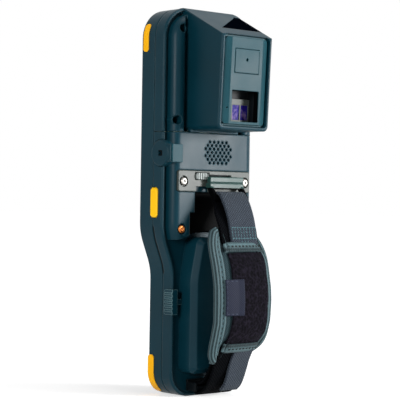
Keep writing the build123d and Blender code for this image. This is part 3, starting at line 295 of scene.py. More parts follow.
def metalFinish(name, look):
    # machined or stamped metal: faint directional lines and darker tarnish in patches
    tree, shader, place = startMaterial(name, {"Metallic": 1.0})
    # patches that are squeezed to a sixth of their height look like lines
    squeezed = addNode(tree, "Mapping", {"Scale": (1.0, 1.0, 6.0)}, {"Vector": place})
    line = addNode(tree, "TexNoise", {"Scale": perMillimetre(look["line"]), "Detail": 4.0},
                   {"Vector": squeezed})
    patch = addNode(tree, "TexNoise", {"Scale": perMillimetre(1.6), "Detail": 3.0}, {"Vector": place})
    shade = addNode(tree, "MapRange", {"From Min": 0.35, "From Max": 0.65, "To Min": 0.88, "To Max": 1.04},
                    {"Value": patch})
    tone = addNode(tree, "HueSaturation", {"Color": toLinear(look["colour"])}, {"Value": shade})
    gloss = addNode(tree, "MapRange", {"To Min": look["roughness"] - 0.08,
                                       "To Max": look["roughness"] + 0.10}, {"Value": line})
    softened = addNode(tree, "Bevel", {"samples": 4, "Radius": look["edge"] * mm})
    bump = addNode(tree, "Bump", {"Strength": 0.1, "Distance": 0.02 * mm},
                   {"Height": line, "Normal": softened})
    joinUp(tree, shader, {"Base Color": tone, "Roughness": gloss, "Normal": bump})


for name, look in metals.items():
    metalFinish(name, look)


def tintedWindow():
    # dark acrylic with an anti-reflective coat: black, with a faint smear of dust
    tree, shader, place = startMaterial("tintedAcrylic", {
        "Base Color": toLinear("#020409"), "Specular IOR Level": 0.0})
    dust = addNode(tree, "TexNoise", {"Scale": perMillimetre(6), "Detail": 6.0}, {"Vector": place})
    gloss = addNode(tree, "MapRange", {"From Min": 0.4, "From Max": 0.75, "To Min": 0.05, "To Max": 0.22},
                    {"Value": dust})
    joinUp(tree, shader, {"Roughness": gloss})


def coatedPane():
    # optical glass with an anti-glare coating: violet, a little lighter at grazing views, with rosy patches
    # painted in as glints
    tree, shader, place = startMaterial("coatedOpticalGlass", {"Specular IOR Level": 0.008})
    slant = addNode(tree, "LayerWeight", {"Blend": 0.35}).outputs["Facing"]
    cell = addNode(tree, "TexNoise", {"Scale": perMillimetre(3.2), "Detail": 2.0}, {"Vector": place})
    ramp = addNode(tree, "Mix", {"data_type": "RGBA", 6: toLinear("#1a1266"), 7: toLinear("#2e2590")},
                   {0: slant})
    # painted glints: rosy patches are mixed into the colour where the noise is high
    patch = addNode(tree, "MapRange", {"From Min": 0.52, "From Max": 0.66}, {"Value": cell})
    glintsPainted = addNode(tree, "Mix", {"data_type": "RGBA", 7: toLinear("#6f5c90")},
                    {0: patch, 6: ramp.outputs[2]})
    gloss = addNode(tree, "MapRange", {"To Min": 0.06, "To Max": 0.16}, {"Value": cell})
    joinUp(tree, shader, {"Base Color": glintsPainted.outputs[2], "Roughness": gloss})


displayBorder = 3.4  # printed border of the display in mm


def displayPane():
    # cover glass with a black printed border round the clear viewing area
    tree, shader, place = startMaterial("printedCoverGlass", {"IOR": 1.5, "Roughness": 0.04})
    parts = addNode(tree, "SeparateXYZ", None, {"Vector": place}).outputs
    low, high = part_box("display_glass")
    middle = (low + high) / 2
    masks = {}
    for socket, axis in enumerate((0, 2)):
        centred = addNode(tree, "Math", {"operation": "SUBTRACT", 1: middle[axis]}, {0: parts[axis]})
        size = addNode(tree, "Math", {"operation": "ABSOLUTE"}, {0: centred})
        reach = (high[axis] - low[axis]) / 2 - displayBorder * mm
        masks[socket] = addNode(tree, "Math", {"operation": "GREATER_THAN", 1: reach}, {0: size})
    ink = addNode(tree, "Math", {"operation": "MAXIMUM"}, masks)
    clear = addNode(tree, "Math", {"operation": "SUBTRACT", 0: 1.0}, {1: ink})
    tone = addNode(tree, "Mix", {"data_type": "RGBA", 6: toLinear("#e8efee"), 7: toLinear("#07090a")},
                   {0: ink})
    smear = addNode(tree, "TexNoise", {"Scale": perMillimetre(14), "Detail": 5.0}, {"Vector": place})
    gloss = addNode(tree, "MapRange", {"From Min": 0.4, "From Max": 0.8, "To Min": 0.03, "To Max": 0.16},
                    {"Value": smear})
    joinUp(tree, shader, {"Transmission Weight": clear, "Base Color": tone.outputs[2], "Roughness": gloss})


def crystalPanel():
    # switched-off liquid crystal panel: grey-green film over a fine pixel grid
    tree, shader, place = startMaterial("crystalPanel", {"Specular IOR Level": 0.5})
    turned = addNode(tree, "Mapping", {"Rotation": (math.pi / 2, 0, 0)}, {"Vector": place})
    # real pixels are 0.2 mm apart, the grid is drawn at 1 mm so that it shows
    grid = addNode(tree, "TexBrick", {
        "Color1": toLinear("#2c3b3a"), "Color2": toLinear("#31413f"), "Mortar": toLinear("#1d2827"),
        "Scale": perMillimetre(1.0), "Mortar Size": 0.08, "Brick Width": 1.0, "Row Height": 1.0,
        "offset": 0.0}, {"Vector": turned})
    cloud = addNode(tree, "TexNoise", {"Scale": perMillimetre(20)}, {"Vector": place})
    gloss = addNode(tree, "MapRange", {"To Min": 0.18, "To Max": 0.32}, {"Value": cloud})
    joinUp(tree, shader, {"Base Color": grid, "Roughness": gloss})


def solderMask():
    # green lacquer over copper tracks, which stand out a little and look lighter
    tree, shader, place = startMaterial("solderMask", {"Specular IOR Level": 0.5})
    track = addNode(tree, "TexVoronoi", {"Scale": perMillimetre(3.2), "distance": "MANHATTAN",
                                         "feature": "F1"}, {"Vector": place})
    tone = addNode(tree, "Mix", {"data_type": "RGBA", 6: toLinear("#0f4a26"), 7: toLinear("#1c6a38")},
                   {0: track})
    gloss = addNode(tree, "MapRange", {"To Min": 0.22, "To Max": 0.36}, {"Value": track})
    bump = addNode(tree, "Bump", {"Strength": 0.4, "Distance": 0.05 * mm}, {"Height": track})
    joinUp(tree, shader, {"Base Color": tone.outputs[2], "Roughness": gloss, "Normal": bump})


tintedWindow()
coatedPane()
displayPane()
crystalPanel()
solderMask()

# woven cloths: thread pitch in mm along and across, drawn coarser than the real 0.5 mm so that it shows,
# and how far apart the cords of a ribbed tape are
# colour is that of the raised yarns, and dark is the painted shade between them
cloths = rowsOf("colour dark along across depth roughness sheen specular rib", {
    "wovenGreyWebbing": ("#313a46", "#0f151c", 1.5, 1.7, 0.30, 0.75, 0.12, 0.2, None),
    "wovenBlackWebbing": ("#07090c", "#010102", 1.6, 1.9, 0.25, 0.8, 0.0, 0.02, None),
    "wovenPadNylon": ("#22393f", "#0a171b", 1.2, 1.2, 0.16, 0.7, 0.08, 0.15, None),
    "ribbedBindingTape": ("#4b6166", "#08161a", 1.3, 1.2, 0.20, 0.62, 0.05, 0.15, 2.4),
    "wovenLabelTape": ("#1a2034", "#0c0e18", 1.2, 1.2, 0.08, 0.6, 0.02, 0.12, None),
})


def clothFinish(name, look):
    # yarns over and under each other, a little fuzz that catches the light, and a colour that follows the
    # weave's height: painted shade between the yarns and painted highlight on them, with uneven tone from the
    # fuzz
    tree, shader, place = startMaterial(name, {
        "Roughness": look["roughness"], "Specular IOR Level": look["specular"], "Sheen Weight": look["sheen"],
        "Sheen Roughness": 0.4, "Sheen Tint": toLinear("#b9c6cc")})
    flat = addNode(tree, "UVMap", {"uv_map": "cloth"})
    parts = addNode(tree, "SeparateXYZ", None, {"Vector": flat}).outputs
    waves = []
    for shape, axis, pitch in (("SINE", 0, "along"), ("SINE", 1, "across"), ("COSINE", 1, "rib")):
        if look[pitch]:
            scale = 2 * math.pi * perMillimetre(look[pitch])
            turn = addNode(tree, "Math", {"operation": "MULTIPLY", 1: scale}, {0: parts[axis]})
            waves.append(addNode(tree, "Math", {"operation": shape}, {0: turn}))
    woven = addNode(tree, "Math", {"operation": "MULTIPLY"}, {0: waves[0], 1: waves[1]})
    if look["rib"]:
        # cords woven in along the tape stand out, and the painted light of the weave makes them paler than
        # the weave between them
        fine = addNode(tree, "Math", {"operation": "MULTIPLY", 1: 0.3}, {0: woven})
        woven = addNode(tree, "Math", {"operation": "ADD"}, {0: waves[2], 1: fine})
    fuzz = addNode(tree, "TexNoise", {"Scale": perMillimetre(0.9), "Detail": 3.0}, {"Vector": place})
    height = addNode(tree, "Math", {"operation": "ADD"}, {0: woven, 1: fuzz})
    # painted shade and highlight: the colour runs from dark between the yarns to full on top of them
    lit = addNode(tree, "MapRange", {"From Min": -0.7, "From Max": 1.5}, {"Value": height})
    tone = addNode(tree, "Mix", {"data_type": "RGBA", 6: toLinear(look["dark"]),
                                 7: toLinear(look["colour"])}, {0: lit})
    bump = addNode(tree, "Bump", {"Strength": 0.8, "Distance": look["depth"] * mm}, {"Height": height})
    joinUp(tree, shader, {"Base Color": tone.outputs[2], "Normal": bump})


for name, look in cloths.items():
    clothFinish(name, look)


def loopPile():
    # brushed nylon loops: nearly black, rough and without a grain
    tree, shader, place = startMaterial("brushedLoopPile", {
        "Roughness": 0.9, "Specular IOR Level": 0.05, "Sheen Weight": 0.05, "Sheen Roughness": 0.5,
        "Sheen Tint": toLinear("#8f86a0")})
    tuft = addNode(tree, "TexVoronoi", {"Scale": perMillimetre(1.5), "feature": "F1"}, {"Vector": place})
    strand = addNode(tree, "TexNoise", {"Scale": perMillimetre(1.1), "Detail": 5.0, "Distortion": 1.2},
                     {"Vector": place})
    both = addNode(tree, "Math", {"operation": "MULTIPLY"}, {0: tuft, 1: strand})
    lit = addNode(tree, "MapRange", {"From Min": 0.12, "From Max": 0.5}, {"Value": both})
    tone = addNode(tree, "Mix", {"data_type": "RGBA", 6: toLinear("#020204"), 7: toLinear("#17141d")},
                   {0: lit})
    bump = addNode(tree, "Bump", {"Strength": 1.0, "Distance": 0.5 * mm}, {"Height": both})
    joinUp(tree, shader, {"Base Color": tone.outputs[2], "Normal": bump})


def sewingThread(name, colour):
    # bonded polyester thread: satin, twisted, a little uneven in colour
    tree, shader, place = startMaterial(name, {"Roughness": 0.55, "Specular IOR Level": 0.15})
    twist = addNode(tree, "TexNoise", {"Scale": perMillimetre(0.7)}, {"Vector": place})
    shade = addNode(tree, "MapRange", {"To Min": 0.75, "To Max": 1.15}, {"Value": twist})
    tone = addNode(tree, "HueSaturation", {"Color": toLinear(colour)}, {"Value": shade})
    joinUp(tree, shader, {"Base Color": tone})


def keyPrint():
    # white ink under clear lacquer, slightly uneven
    tree, shader, place = startMaterial("keyInk", {"Specular IOR Level": 0.4})
    ink = addNode(tree, "TexNoise", {"Scale": perMillimetre(1.0)}, {"Vector": place})
    tone = addNode(tree, "Mix", {"data_type": "RGBA", 6: toLinear("#d9dcda"), 7: toLinear("#c3c8c6")},
                   {0: ink})
    gloss = addNode(tree, "MapRange", {"To Min": 0.35, "To Max": 0.5}, {"Value": ink})
    joinUp(tree, shader, {"Base Color": tone.outputs[2], "Roughness": gloss})


loopPile()
sewingThread("paleThread", "#46636a")
sewingThread("slateThread", "#2e3546")
sewingThread("darkThread", "#030708")
keyPrint()

# what each record slot is made of, and the nodes that differ from their slot
slotFinish = {
    "body_plastic": "mouldedPolycarbonate", "dark_plastic": "mouldedDarkNylon",
    "plate_plastic": "mouldedGreyNylon", "yellow_rubber": "mouldedYellowGrip",
    "trigger_yellow": "mouldedYellowTrigger", "key_rubber": "mouldedKeySilicone",
    "strap_fabric": "wovenBlackWebbing", "pad_fabric": "wovenPadNylon", "window_glass": "tintedAcrylic",
    "imager_glass": "coatedOpticalGlass", "clear_glass": "printedCoverGlass",
    "seal_rubber": "mouldedSealRubber", "steel": "turnedSteel", "brass": "turnedBrass",
    "board": "solderMask", "metal_case": "stampedAluminium", "lcd": "crystalPanel",
}
# the pod's screws take the near-black steel, painted shade of their holes
nodeFinish = {"service_cover": "mouldedFaceCover", "port_tab": "mouldedFaceCover",
              "imager_frame": "mouldedGreyNylon", "battery_lock": "mouldedThumbGrip",
              "pod_screws": "shadeDarkSteel", **{part["node"]: name for name, part in shadePaintedParts.items()}}
for part in frame["record"]["subparts"]:
    finish = finishes[nodeFinish.get(part["node"], slotFinish[part["material_slot"]])]
    mesh = nodes[part["node"]].data
    mesh.materials.clear()
    mesh.materials.append(finish)
print("stage: finishes on the moulded and metal parts")


def finishPiece(bm, name, finish, body="housing", smooth=True):
    # bm is in mm, the finished object in metres at the origin
    bmesh.ops.scale(bm, verts=bm.verts, vec=(mm, mm, mm))
    mesh = bpy.data.meshes.new(name)
    bm.to_mesh(mesh)
    bm.free()
    mesh.polygons.foreach_set("use_smooth", [smooth] * len(mesh.polygons))
    mesh.materials.append(finishes[finish])
    piece = addObject(name, mesh)
    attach(piece, body)
    return piece


def smoothLine(points, steps, closed=False):
    # a curve through the points, each a tuple of numbers
    count = len(points)
    found = []
    for i in range(count if closed else count - 1):
        a, b, c, d = (Vector(points[(i + k) % count] if closed else points[min(max(i + k, 0), count - 1)])
                      for k in (-1, 0, 1, 2))
        for k in range(steps):
            t = k / steps
            found.append(0.5 * (2 * b + (c - a) * t + (2 * a - 5 * b + 4 * c - d) * t * t
                                + (3 * b - a - 3 * c + d) * t ** 3))
    if not closed:
        found.append(Vector(points[-1]))
    return found


def between(table, z):
    # value at height z in rows of (height, value) that rise
    if z <= table[0][0]:
        return table[0][1]
    for (z0, v0), (z1, v1) in zip(table, table[1:]):
        if z <= z1:
            return v0 + (v1 - v0) * (z - z0) / (z1 - z0)
    return table[-1][1]


def vertsOf(made):
    return [g for g in made if isinstance(g, bmesh.types.BMVert)]


def extrudeRow(bm, edges):
    # the new points and the new row of edges beside the given ones
    made = bmesh.ops.extrude_edge_only(bm, edges=edges)["geom"]
    fresh = vertsOf(made)
    return fresh, [g for g in made if isinstance(g, bmesh.types.BMEdge) and all(v in fresh for v in g.verts)]


def thicken(bm, low, high):
    # a closed sheet between two offsets along the normals of an open one
    bm.normal_update()
    ways = [(vert, vert.normal.copy()) for vert in bm.verts]
    for vert, way in ways:
        vert.co += way * low
    table = {tuple(round(c, 4) for c in vert.co): way for vert, way in ways}
    for vert in vertsOf(bmesh.ops.extrude_face_region(bm, geom=bm.faces[:])["geom"]):
        vert.co += table[tuple(round(c, 4) for c in vert.co)] * (high - low)
    bmesh.ops.recalc_face_normals(bm, faces=bm.faces)


def softenRims(bm, offset, angle=55):
    rims = [e for e in bm.edges if len(e.link_faces) == 2 and e.calc_face_angle() > math.radians(angle)]
    bmesh.ops.bevel(bm, geom=rims, offset=offset, segments=2, profile=0.5, affect="EDGES", material=-1)


def runLengths(line):
    # how far along the line each of its points is
    lengths = [0.0]
    for p, q in zip(line, line[1:]):
        lengths.append(lengths[-1] + (q - p).length)
    return lengths


def markCloth(bm, flatPlace):
    # cloth coordinates in metres, from what flatPlace gives in mm for a corner of a face
    layer = bm.loops.layers.uv.get("cloth") or bm.loops.layers.uv.new("cloth")
    for face in bm.faces:
        for loop in face.loops:
            along, across = flatPlace(loop)
            loop[layer].uv = (along * mm, across * mm)


def upAndAcross(loop):
    # for a piece that lies about flat on the pad: height, then x
    return loop.vert.co.z, loop.vert.co.x


# the straps: path of the middle of the webbing as (depth, height, low edge, high edge), thickness
straps = {
    "upperWebbing": {
        "finish": "wovenGreyWebbing", "thickness": 1.5, "wave": 0.35, "hangsOn": "strap_bracket",
        "path": [(19.5, 107.0, -13.8, 4.4), (20.0, 109.2, -13.8, 4.4), (22.0, 110.2, -13.8, 4.6),
                 (24.4, 109.4, -13.8, 4.8), (27.3, 106.0, -13.8, 5.2), (29.7, 101.6, -13.8, 5.2),
                 (31.7, 96.6, -13.8, 5.2), (33.2, 91.0, -13.8, 5.2), (34.2, 86.6, -13.6, 5.2),
                 (35.3, 82.2, -13.6, 5.2)]},
    "upperLining": {
        "finish": "wovenBlackWebbing", "thickness": 1.3, "wave": 0.25, "hangsOn": "strap_bracket",
        "path": [(19.6, 108.0, -15.8, 5.0), (19.8, 106.2, -15.8, 5.0), (21.6, 104.9, -15.8, 5.2),
                 (23.8, 103.2, -15.9, 7.4), (26.4, 99.8, -15.8, 9.6), (29.0, 96.0, -15.6, 10.6),
                 (31.6, 91.2, -15.5, 11.0), (32.8, 86.6, -15.5, 11.0), (33.9, 82.0, -15.5, 11.0)]},
    "lowerWebbing": {
        "finish": "wovenGreyWebbing", "thickness": 1.5, "wave": 0.3, "hangsOn": "strap_anchor",
        "path": [(35.2, 29.0, -12.5, 1.0), (33.2, 24.6, -12.5, 1.0), (30.9, 20.2, -12.5, 1.0),
                 (29.2, 15.6, -12.5, 1.0), (27.2, 10.4, -12.4, 0.8), (24.8, 6.2, -12.4, 0.6),
                 (21.8, 3.6, -12.3, 0.4)]},
    "lowerLining": {
        "finish": "wovenBlackWebbing", "thickness": 1.4, "wave": 0.2, "hangsOn": "strap_anchor",
        "path": [(33.8, 29.0, -13.0, 11.4), (31.8, 24.6, -13.2, 11.4), (29.6, 20.2, -13.6, 11.2),
                 (27.6, 15.6, -13.8, 10.8), (24.4, 10.6, -14.0, 10.0), (20.6, 5.9, -14.2, 9.4),
                 (16.8, 2.9, -14.2, 9.4), (13.4, 1.7, -14.2, 9.4), (11.2, 3.2, -14.2, 9.4),
                 (11.2, 5.8, -14.2, 9.4), (13.2, 7.3, -14.2, 9.4), (16.0, 7.6, -14.2, 9.4),
                 (19.4, 10.2, -14.0, 9.4), (22.8, 15.2, -13.4, 9.4), (25.6, 21.0, -13.0, 9.4),
                 (28.4, 25.4, -12.6, 9.4)]},
}
# steps between two points of a path, cells across it, how fast its wave changes, rim radius by thickness
weave = {"steps": 7, "columns": 14, "waveScale": (0.09, 0.07, 0.07), "rim": 0.3}


def weaveStrap(name, setup):
    line = smoothLine(setup["path"], weave["steps"])
    flat = [p.xy for p in line]

    def nearest(vert):
        return min(range(len(flat)), key=lambda i: (flat[i] - vert.co.yz).length_squared)

    bm = bmesh.new()
    verts = [bm.verts.new((p.z, p.x, p.y)) for p in line]
    edges = [bm.edges.new(pair) for pair in zip(verts, verts[1:])]
    row = {vert: i for i, vert in enumerate(verts)}
    for k in range(1, weave["columns"] + 1):
        fresh, edges = extrudeRow(bm, edges)
        for vert in fresh:
            row[vert] = nearest(vert)
            p = line[row[vert]]
            vert.co.x = p.z + (p.w - p.z) * k / weave["columns"]
    for vert in bm.verts:
        # a slight wave, less where the cloth is held at its ends
        held = math.sin(math.pi * row[vert] / (len(line) - 1))
        spot = Vector([c * scale for c, scale in zip(vert.co, weave["waveScale"])])
        vert.co.y += noise.noise(spot) * setup["wave"] * held
    bmesh.ops.recalc_face_normals(bm, faces=bm.faces)
    thicken(bm, -setup["thickness"] / 2, setup["thickness"] / 2)
    softenRims(bm, setup["thickness"] * weave["rim"])
    lengths = runLengths(flat)
    markCloth(bm, lambda loop: (lengths[nearest(loop.vert)], loop.vert.co.x))
    piece = finishPiece(bm, name, setup["finish"])
    return piece


woven = {name: weaveStrap(name, setup) for name, setup in straps.items()}
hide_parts("strap_upper")
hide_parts("strap_lower")
print("stage: straps")

# the hand pad: outline as (x, height), depth of its middle along the height, crown across the width
handPad = {
    "outline": [(15.2, 90.6), (18.3, 87.4), (19.7, 81.0), (19.3, 74.0), (19.0, 64.0), (19.2, 53.0),
                (18.9, 42.0), (19.0, 31.0), (17.9, 23.6), (14.3, 20.2), (6.0, 19.6), (-5.0, 20.0),
                (-11.6, 21.6), (-15.6, 25.0), (-18.2, 31.0), (-19.1, 42.0), (-19.4, 53.0), (-19.1, 64.0),
                (-18.4, 77.0), (-16.9, 85.0), (-14.0, 89.4), (-5.0, 90.6), (6.0, 91.0)],
    "depths": [(19.0, 32.0), (22.0, 33.0), (27.0, 34.5), (33.0, 36.5), (42.0, 38.5), (53.0, 39.0),
               (60.0, 38.6), (70.0, 37.0), (80.0, 35.0), (87.0, 33.0), (91.0, 31.5)],
    "steps": 8, "centre": (0.0, 55.0), "crown": 2.0, "crownAt": -0.1, "halfWidth": 19.6,
    # how far the straps pull the pad in at its ends, and over what width
    "dips": [(19.0, 7.8), (22.0, 7.2), (25.0, 6.4), (28.0, 5.5), (31.0, 4.0), (34.0, 1.8), (37.0, 0.0),
             (74.0, 0.0), (77.0, 1.8), (79.5, 3.6), (82.2, 4.8), (86.6, 5.3), (91.0, 4.6)],
    "dipCentre": -2.0, "dipSpan": (12.0, 18.0),
    # the blank's thickness, and its cuts as (axis, start, reach, count)
    "startThickness": 3.2, "cuts": [(2, 19.0, 72.0, 30), (0, -20.0, 40.0, 12)],
    "voxel": 1.0, "simScale": 8.0, "cap": 1.6, "frames": 20,
    "cloth": {"quality": 6, "mass": 0.3, "use_pressure": True, "uniform_pressure_force": 4.0,
              "tension_stiffness": 18, "bending_stiffness": 0.6, "vertex_group_mass": "held"},
    # the seam: its width, the share of it that is held, its thickness, how the filling rises beside it
    "seamWidth": 5.4, "seamHeld": 0.8, "edgeThickness": 2.8, "seamThin": 0.25, "rise": 0.45, "tallest": 3.2,
    # lift without the simulation: share of the cap, and from and over what distance from the outline
    "plainLift": (0.5, 4, 6),
}


def padMiddle(x, z):
    share = min(abs(x - handPad["crownAt"]) / handPad["halfWidth"], 1.0)
    near, far = handPad["dipSpan"]
    t = min(1.0, max(0.0, (abs(x - handPad["dipCentre"]) - near) / (far - near)))
    dip = between(handPad["dips"], z) * (1 - t * t * (3 - 2 * t))
    return between(handPad["depths"], z) + handPad["crown"] * (1 - share ** 2) - dip


padLine = smoothLine(handPad["outline"], handPad["steps"], closed=True)


def edgeDistance(x, z):
    # how far a point is from the pad's outline
    spot = Vector((x, z))
    best = math.inf
    for a, b in zip(padLine, padLine[1:] + padLine[:1]):
        run = b - a
        t = max(0.0, min(1.0, (spot - a).dot(run) / run.length_squared))
        best = min(best, (a + run * t - spot).length)
    return best


def padBlank():
    bm = bmesh.new()
    half = handPad["startThickness"] / 2
    face = bm.faces.new([bm.verts.new((p.x, -half, p.y)) for p in padLine])
    made = bmesh.ops.extrude_face_region(bm, geom=[face])["geom"]
    bmesh.ops.translate(bm, verts=vertsOf(made), vec=(0, 2 * half, 0))
    for axis, start, reach, count in handPad["cuts"]:
        for k in range(1, count):
            place, way = Vector(), Vector()
            place[axis] = start + reach * k / count
            way[axis] = 1
            bmesh.ops.bisect_plane(bm, geom=bm.verts[:] + bm.edges[:] + bm.faces[:],
                                   plane_co=place, plane_no=way)
    for vert in bm.verts:
        vert.co.y += padMiddle(vert.co.x, vert.co.z)
    bmesh.ops.recalc_face_normals(bm, faces=bm.faces)
    return bm


def fillByCloth(blank):
    # pressure inside a cloth, without gravity, and where its points end
    cloth = blank.modifiers.new("cloth", "CLOTH")
    for key, value in handPad["cloth"].items():
        setattr(cloth.settings, key, value)
    cloth.settings.effector_weights.gravity = 0
    cloth.point_cache.frame_start = 1
    cloth.point_cache.frame_end = handPad["frames"]
    for step in range(1, handPad["frames"] + 1):
        scene.frame_set(step)
    solved = blank.evaluated_get(bpy.context.evaluated_depsgraph_get())
    settled = [v.co.copy() for v in solved.to_mesh().vertices]
    solved.to_mesh_clear()
    scene.frame_set(1)
    return settled


def swellPad(bm):
    # foam filling: voxel remesh, cloth with pressure at several times the size, then back to size
    unit = mm * handPad["simScale"]
    bmesh.ops.scale(bm, verts=bm.verts, vec=(unit,) * 3)
    mesh = bpy.data.meshes.new("padBlank")
    bm.to_mesh(mesh)
    bm.free()
    blank = addObject("padBlank", mesh)
    bpy.context.view_layer.objects.active = blank
    remesh = blank.modifiers.new("remesh", "REMESH")
    remesh.mode = "VOXEL"
    remesh.voxel_size = handPad["voxel"] * unit
    fine = bpy.data.meshes.new_from_object(blank.evaluated_get(bpy.context.evaluated_depsgraph_get()))
    blank.modifiers.clear()
    blank.data = fine
    rest = [v.co.copy() for v in fine.vertices]
    spots = [tuple(c / unit for c in start) for start in rest]
    deep = [edgeDistance(x, z) for x, _, z in spots]
    held = blank.vertex_groups.new(name="held")
    for i, reach in enumerate(deep):
        inSeam = reach < handPad["seamWidth"] * handPad["seamHeld"]
        held.add([i], 1.0 if inSeam else 0.0, "REPLACE")
    cap = handPad["cap"] * unit
    moves = [end - start for start, end in zip(rest, fillByCloth(blank))]
    bm = bmesh.new()
    bm.from_mesh(fine)
    for vert, start, move in zip(bm.verts, rest, moves):
        vert.co = start + (move.normalized() * cap if move.length > cap else move)
    bpy.data.objects.remove(blank)
    bmesh.ops.scale(bm, verts=bm.verts, vec=(1 / unit,) * 3)
    return bm


def pressSeam(bm):
    # the sewn rim is thinner than the filling, and thinnest at its very edge
    thin = handPad["seamThin"]
    for vert in bm.verts:
        deep = edgeDistance(vert.co.x, vert.co.z)
        middle = padMiddle(vert.co.x, vert.co.z)
        off = vert.co.y - middle
        rim = min(1.0, deep / handPad["seamWidth"])
        limit = handPad["edgeThickness"] / 2 + max(0.0, deep - handPad["seamWidth"]) * handPad["rise"]
        limit = min(limit, handPad["tallest"])
        if rim < 1.0:
            limit *= 1 - thin + thin * math.sin(rim * math.pi / 2)
        vert.co.y = middle + max(-limit, min(limit, off))
    bmesh.ops.smooth_vert(bm, verts=bm.verts, factor=0.5, use_axis_x=True, use_axis_y=True, use_axis_z=True)


padBody = swellPad(padBlank())
pressSeam(padBody)
bmesh.ops.recalc_face_normals(padBody, faces=padBody.faces)
markCloth(padBody, upAndAcross)
padSurface = BVHTree.FromBMesh(padBody)
farBehind = 80.0  # depth in mm from which the rays look back at the pad
inward = Vector((0, -1, 0))


def padOuter(x, z, lift=0.0, probe=0.5, margin=1.2):
    # point on the pad's outer face, and the way that face looks there
    normal = Vector((padMiddle(x - probe, z) - padMiddle(x + probe, z), 1.0,
                     padMiddle(x, z - probe) - padMiddle(x, z + probe))).normalized()
    rim = padMiddle(x, z) + handPad["edgeThickness"] / 2
    hit = padSurface.ray_cast(Vector((x, farBehind, z)), inward)[0]
    if hit is None or edgeDistance(x, z) < margin:
        hit = Vector((x, rim, z))
    return hit + normal * lift, normal


padPiece = finishPiece(padBody, "handPad", "wovenPadNylon")
rounder = padPiece.modifiers.new("rounder", "SUBSURF")
rounder.levels = rounder.render_levels = 1
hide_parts("hand_pad")
print("stage: hand pad")

# the tape round the pad's rim: its section as (inset, height above the pad's face) outside, (reach past
# the outline, share of the height) round the rim and (inset, depth behind the pad's middle) at the back
binding = {"outer": [(5.3, -0.2), (5.3, 0.45), (4.4, 0.75), (3.2, 0.45), (2.2, 0.75), (1.2, 0.6), (0.3, 0.4)],
           "rim": [(0.5, 0.8), (0.85, 0.3), (0.85, -0.3), (0.5, -0.8)], "proud": 0.4,
           "back": [(1.0, 1.8), (4.6, 1.8), (4.6, 1.0), (1.8, 0.0)], "cordWidth": 1.2,
           # in a tight corner an inset shrinks to what its distance allows, but for the slack
           "smallest": 0.4, "slack": 0.12, "shrink": 0.9}


def insetPoint(i, inset):
    # the outline's point i moved inwards, but no further than where a tight corner's rows would cross
    count = len(padLine)
    p = padLine[i % count]
    run = (padLine[(i + 1) % count] - padLine[(i - 1) % count]).normalized()
    out = Vector((run.y, -run.x))
    if out.dot(p - Vector(handPad["centre"])) < 0:
        out = -out
    reach = inset
    while reach > binding["smallest"] and edgeDistance(*(p - out * reach)) < reach - binding["slack"]:
        reach *= binding["shrink"]
    return p - out * reach


def bindingSection(i):
    # tape folded round the rim: a closed section whose inner side is buried in the pad
    section = []
    for inset, lift in binding["outer"]:
        section.append(padOuter(*insetPoint(i, inset), lift)[0])
    edge = padLine[i % len(padLine)]
    for reach, side in binding["rim"]:
        q = 2 * edge - insetPoint(i, reach)
        height = side * (handPad["edgeThickness"] / 2 + binding["proud"])
        section.append(Vector((q.x, padMiddle(*edge) + height, q.y)))
    for inset, depth in binding["back"]:
        q = insetPoint(i, inset)
        section.append(Vector((q.x, padMiddle(*q) - depth, q.y)))
    return section


def bindPad():
    count = len(padLine)
    rows = [bindingSection(i) for i in range(count + 1)]
    bm = bmesh.new()
    last = [bm.verts.new(spot) for spot in rows[0]]
    edges = [bm.edges.new(pair) for pair in zip(last, last[1:] + last[:1])]
    place = {vert: (0, k) for k, vert in enumerate(last)}
    for i in range(1, count + 1):
        fresh, edges = extrudeRow(bm, edges)
        last = [next(e.other_vert(v) for e in v.link_edges if e.other_vert(v) in fresh) for v in last]
        for k, vert in enumerate(last):
            vert.co = rows[i][k]
            place[vert] = (i, k)
    lengths = runLengths(padLine + padLine[:1])

    def alongTape(loop):
        # the last strip ends at the section's full width, not back at its start
        i, k = place[loop.vert]
        ranks = [place[vert][1] for vert in loop.face.verts]
        wraps = max(ranks) - min(ranks) > 1
        return lengths[i], (len(rows[0]) if wraps and k == 0 else k) * binding["cordWidth"]

    markCloth(bm, alongTape)
    bmesh.ops.remove_doubles(bm, verts=bm.verts, dist=0.0005)
    bmesh.ops.recalc_face_normals(bm, faces=bm.faces)
    finishPiece(bm, "padBinding", "ribbedBindingTape")


bindPad()
print("stage: binding")

# flat pieces sewn on the pad: x span, height span, thickness, lift of the inner face, cells across and
# up, unevenness of the pile
patches = rowsOf("x z thickness lift cells rough finish", {
    "loopPatch": ((-15.5, 10.0), (30.5, 78.0), 0.9, 0.1, (44, 80), 0.32, "brushedLoopPile"),
    "topBand": ((-16.0, 14.2), (77.6, 82.6), 1.1, 1.9, (30, 5), 0.0, "ribbedBindingTape"),
    "bottomBand": ((-15.0, 14.4), (26.8, 31.6), 1.1, 1.9, (30, 5), 0.0, "ribbedBindingTape"),
    "labelTab": ((3.6, 15.0), (45.6, 64.4), 0.7, 1.1, (16, 20), 0.0, "wovenLabelTape"),
})
# the label's free end stands up a little: from which x, over what width, how far
curl = {"from": 7.0, "over": 3.4, "height": 0.9}
pile = {"swell": 0.3, "scale": 0.35}  # slow waves of the loop patch
buried, rimShare = 0.1, 0.35  # how deep the inner side sits in the pad, rim radius by thickness


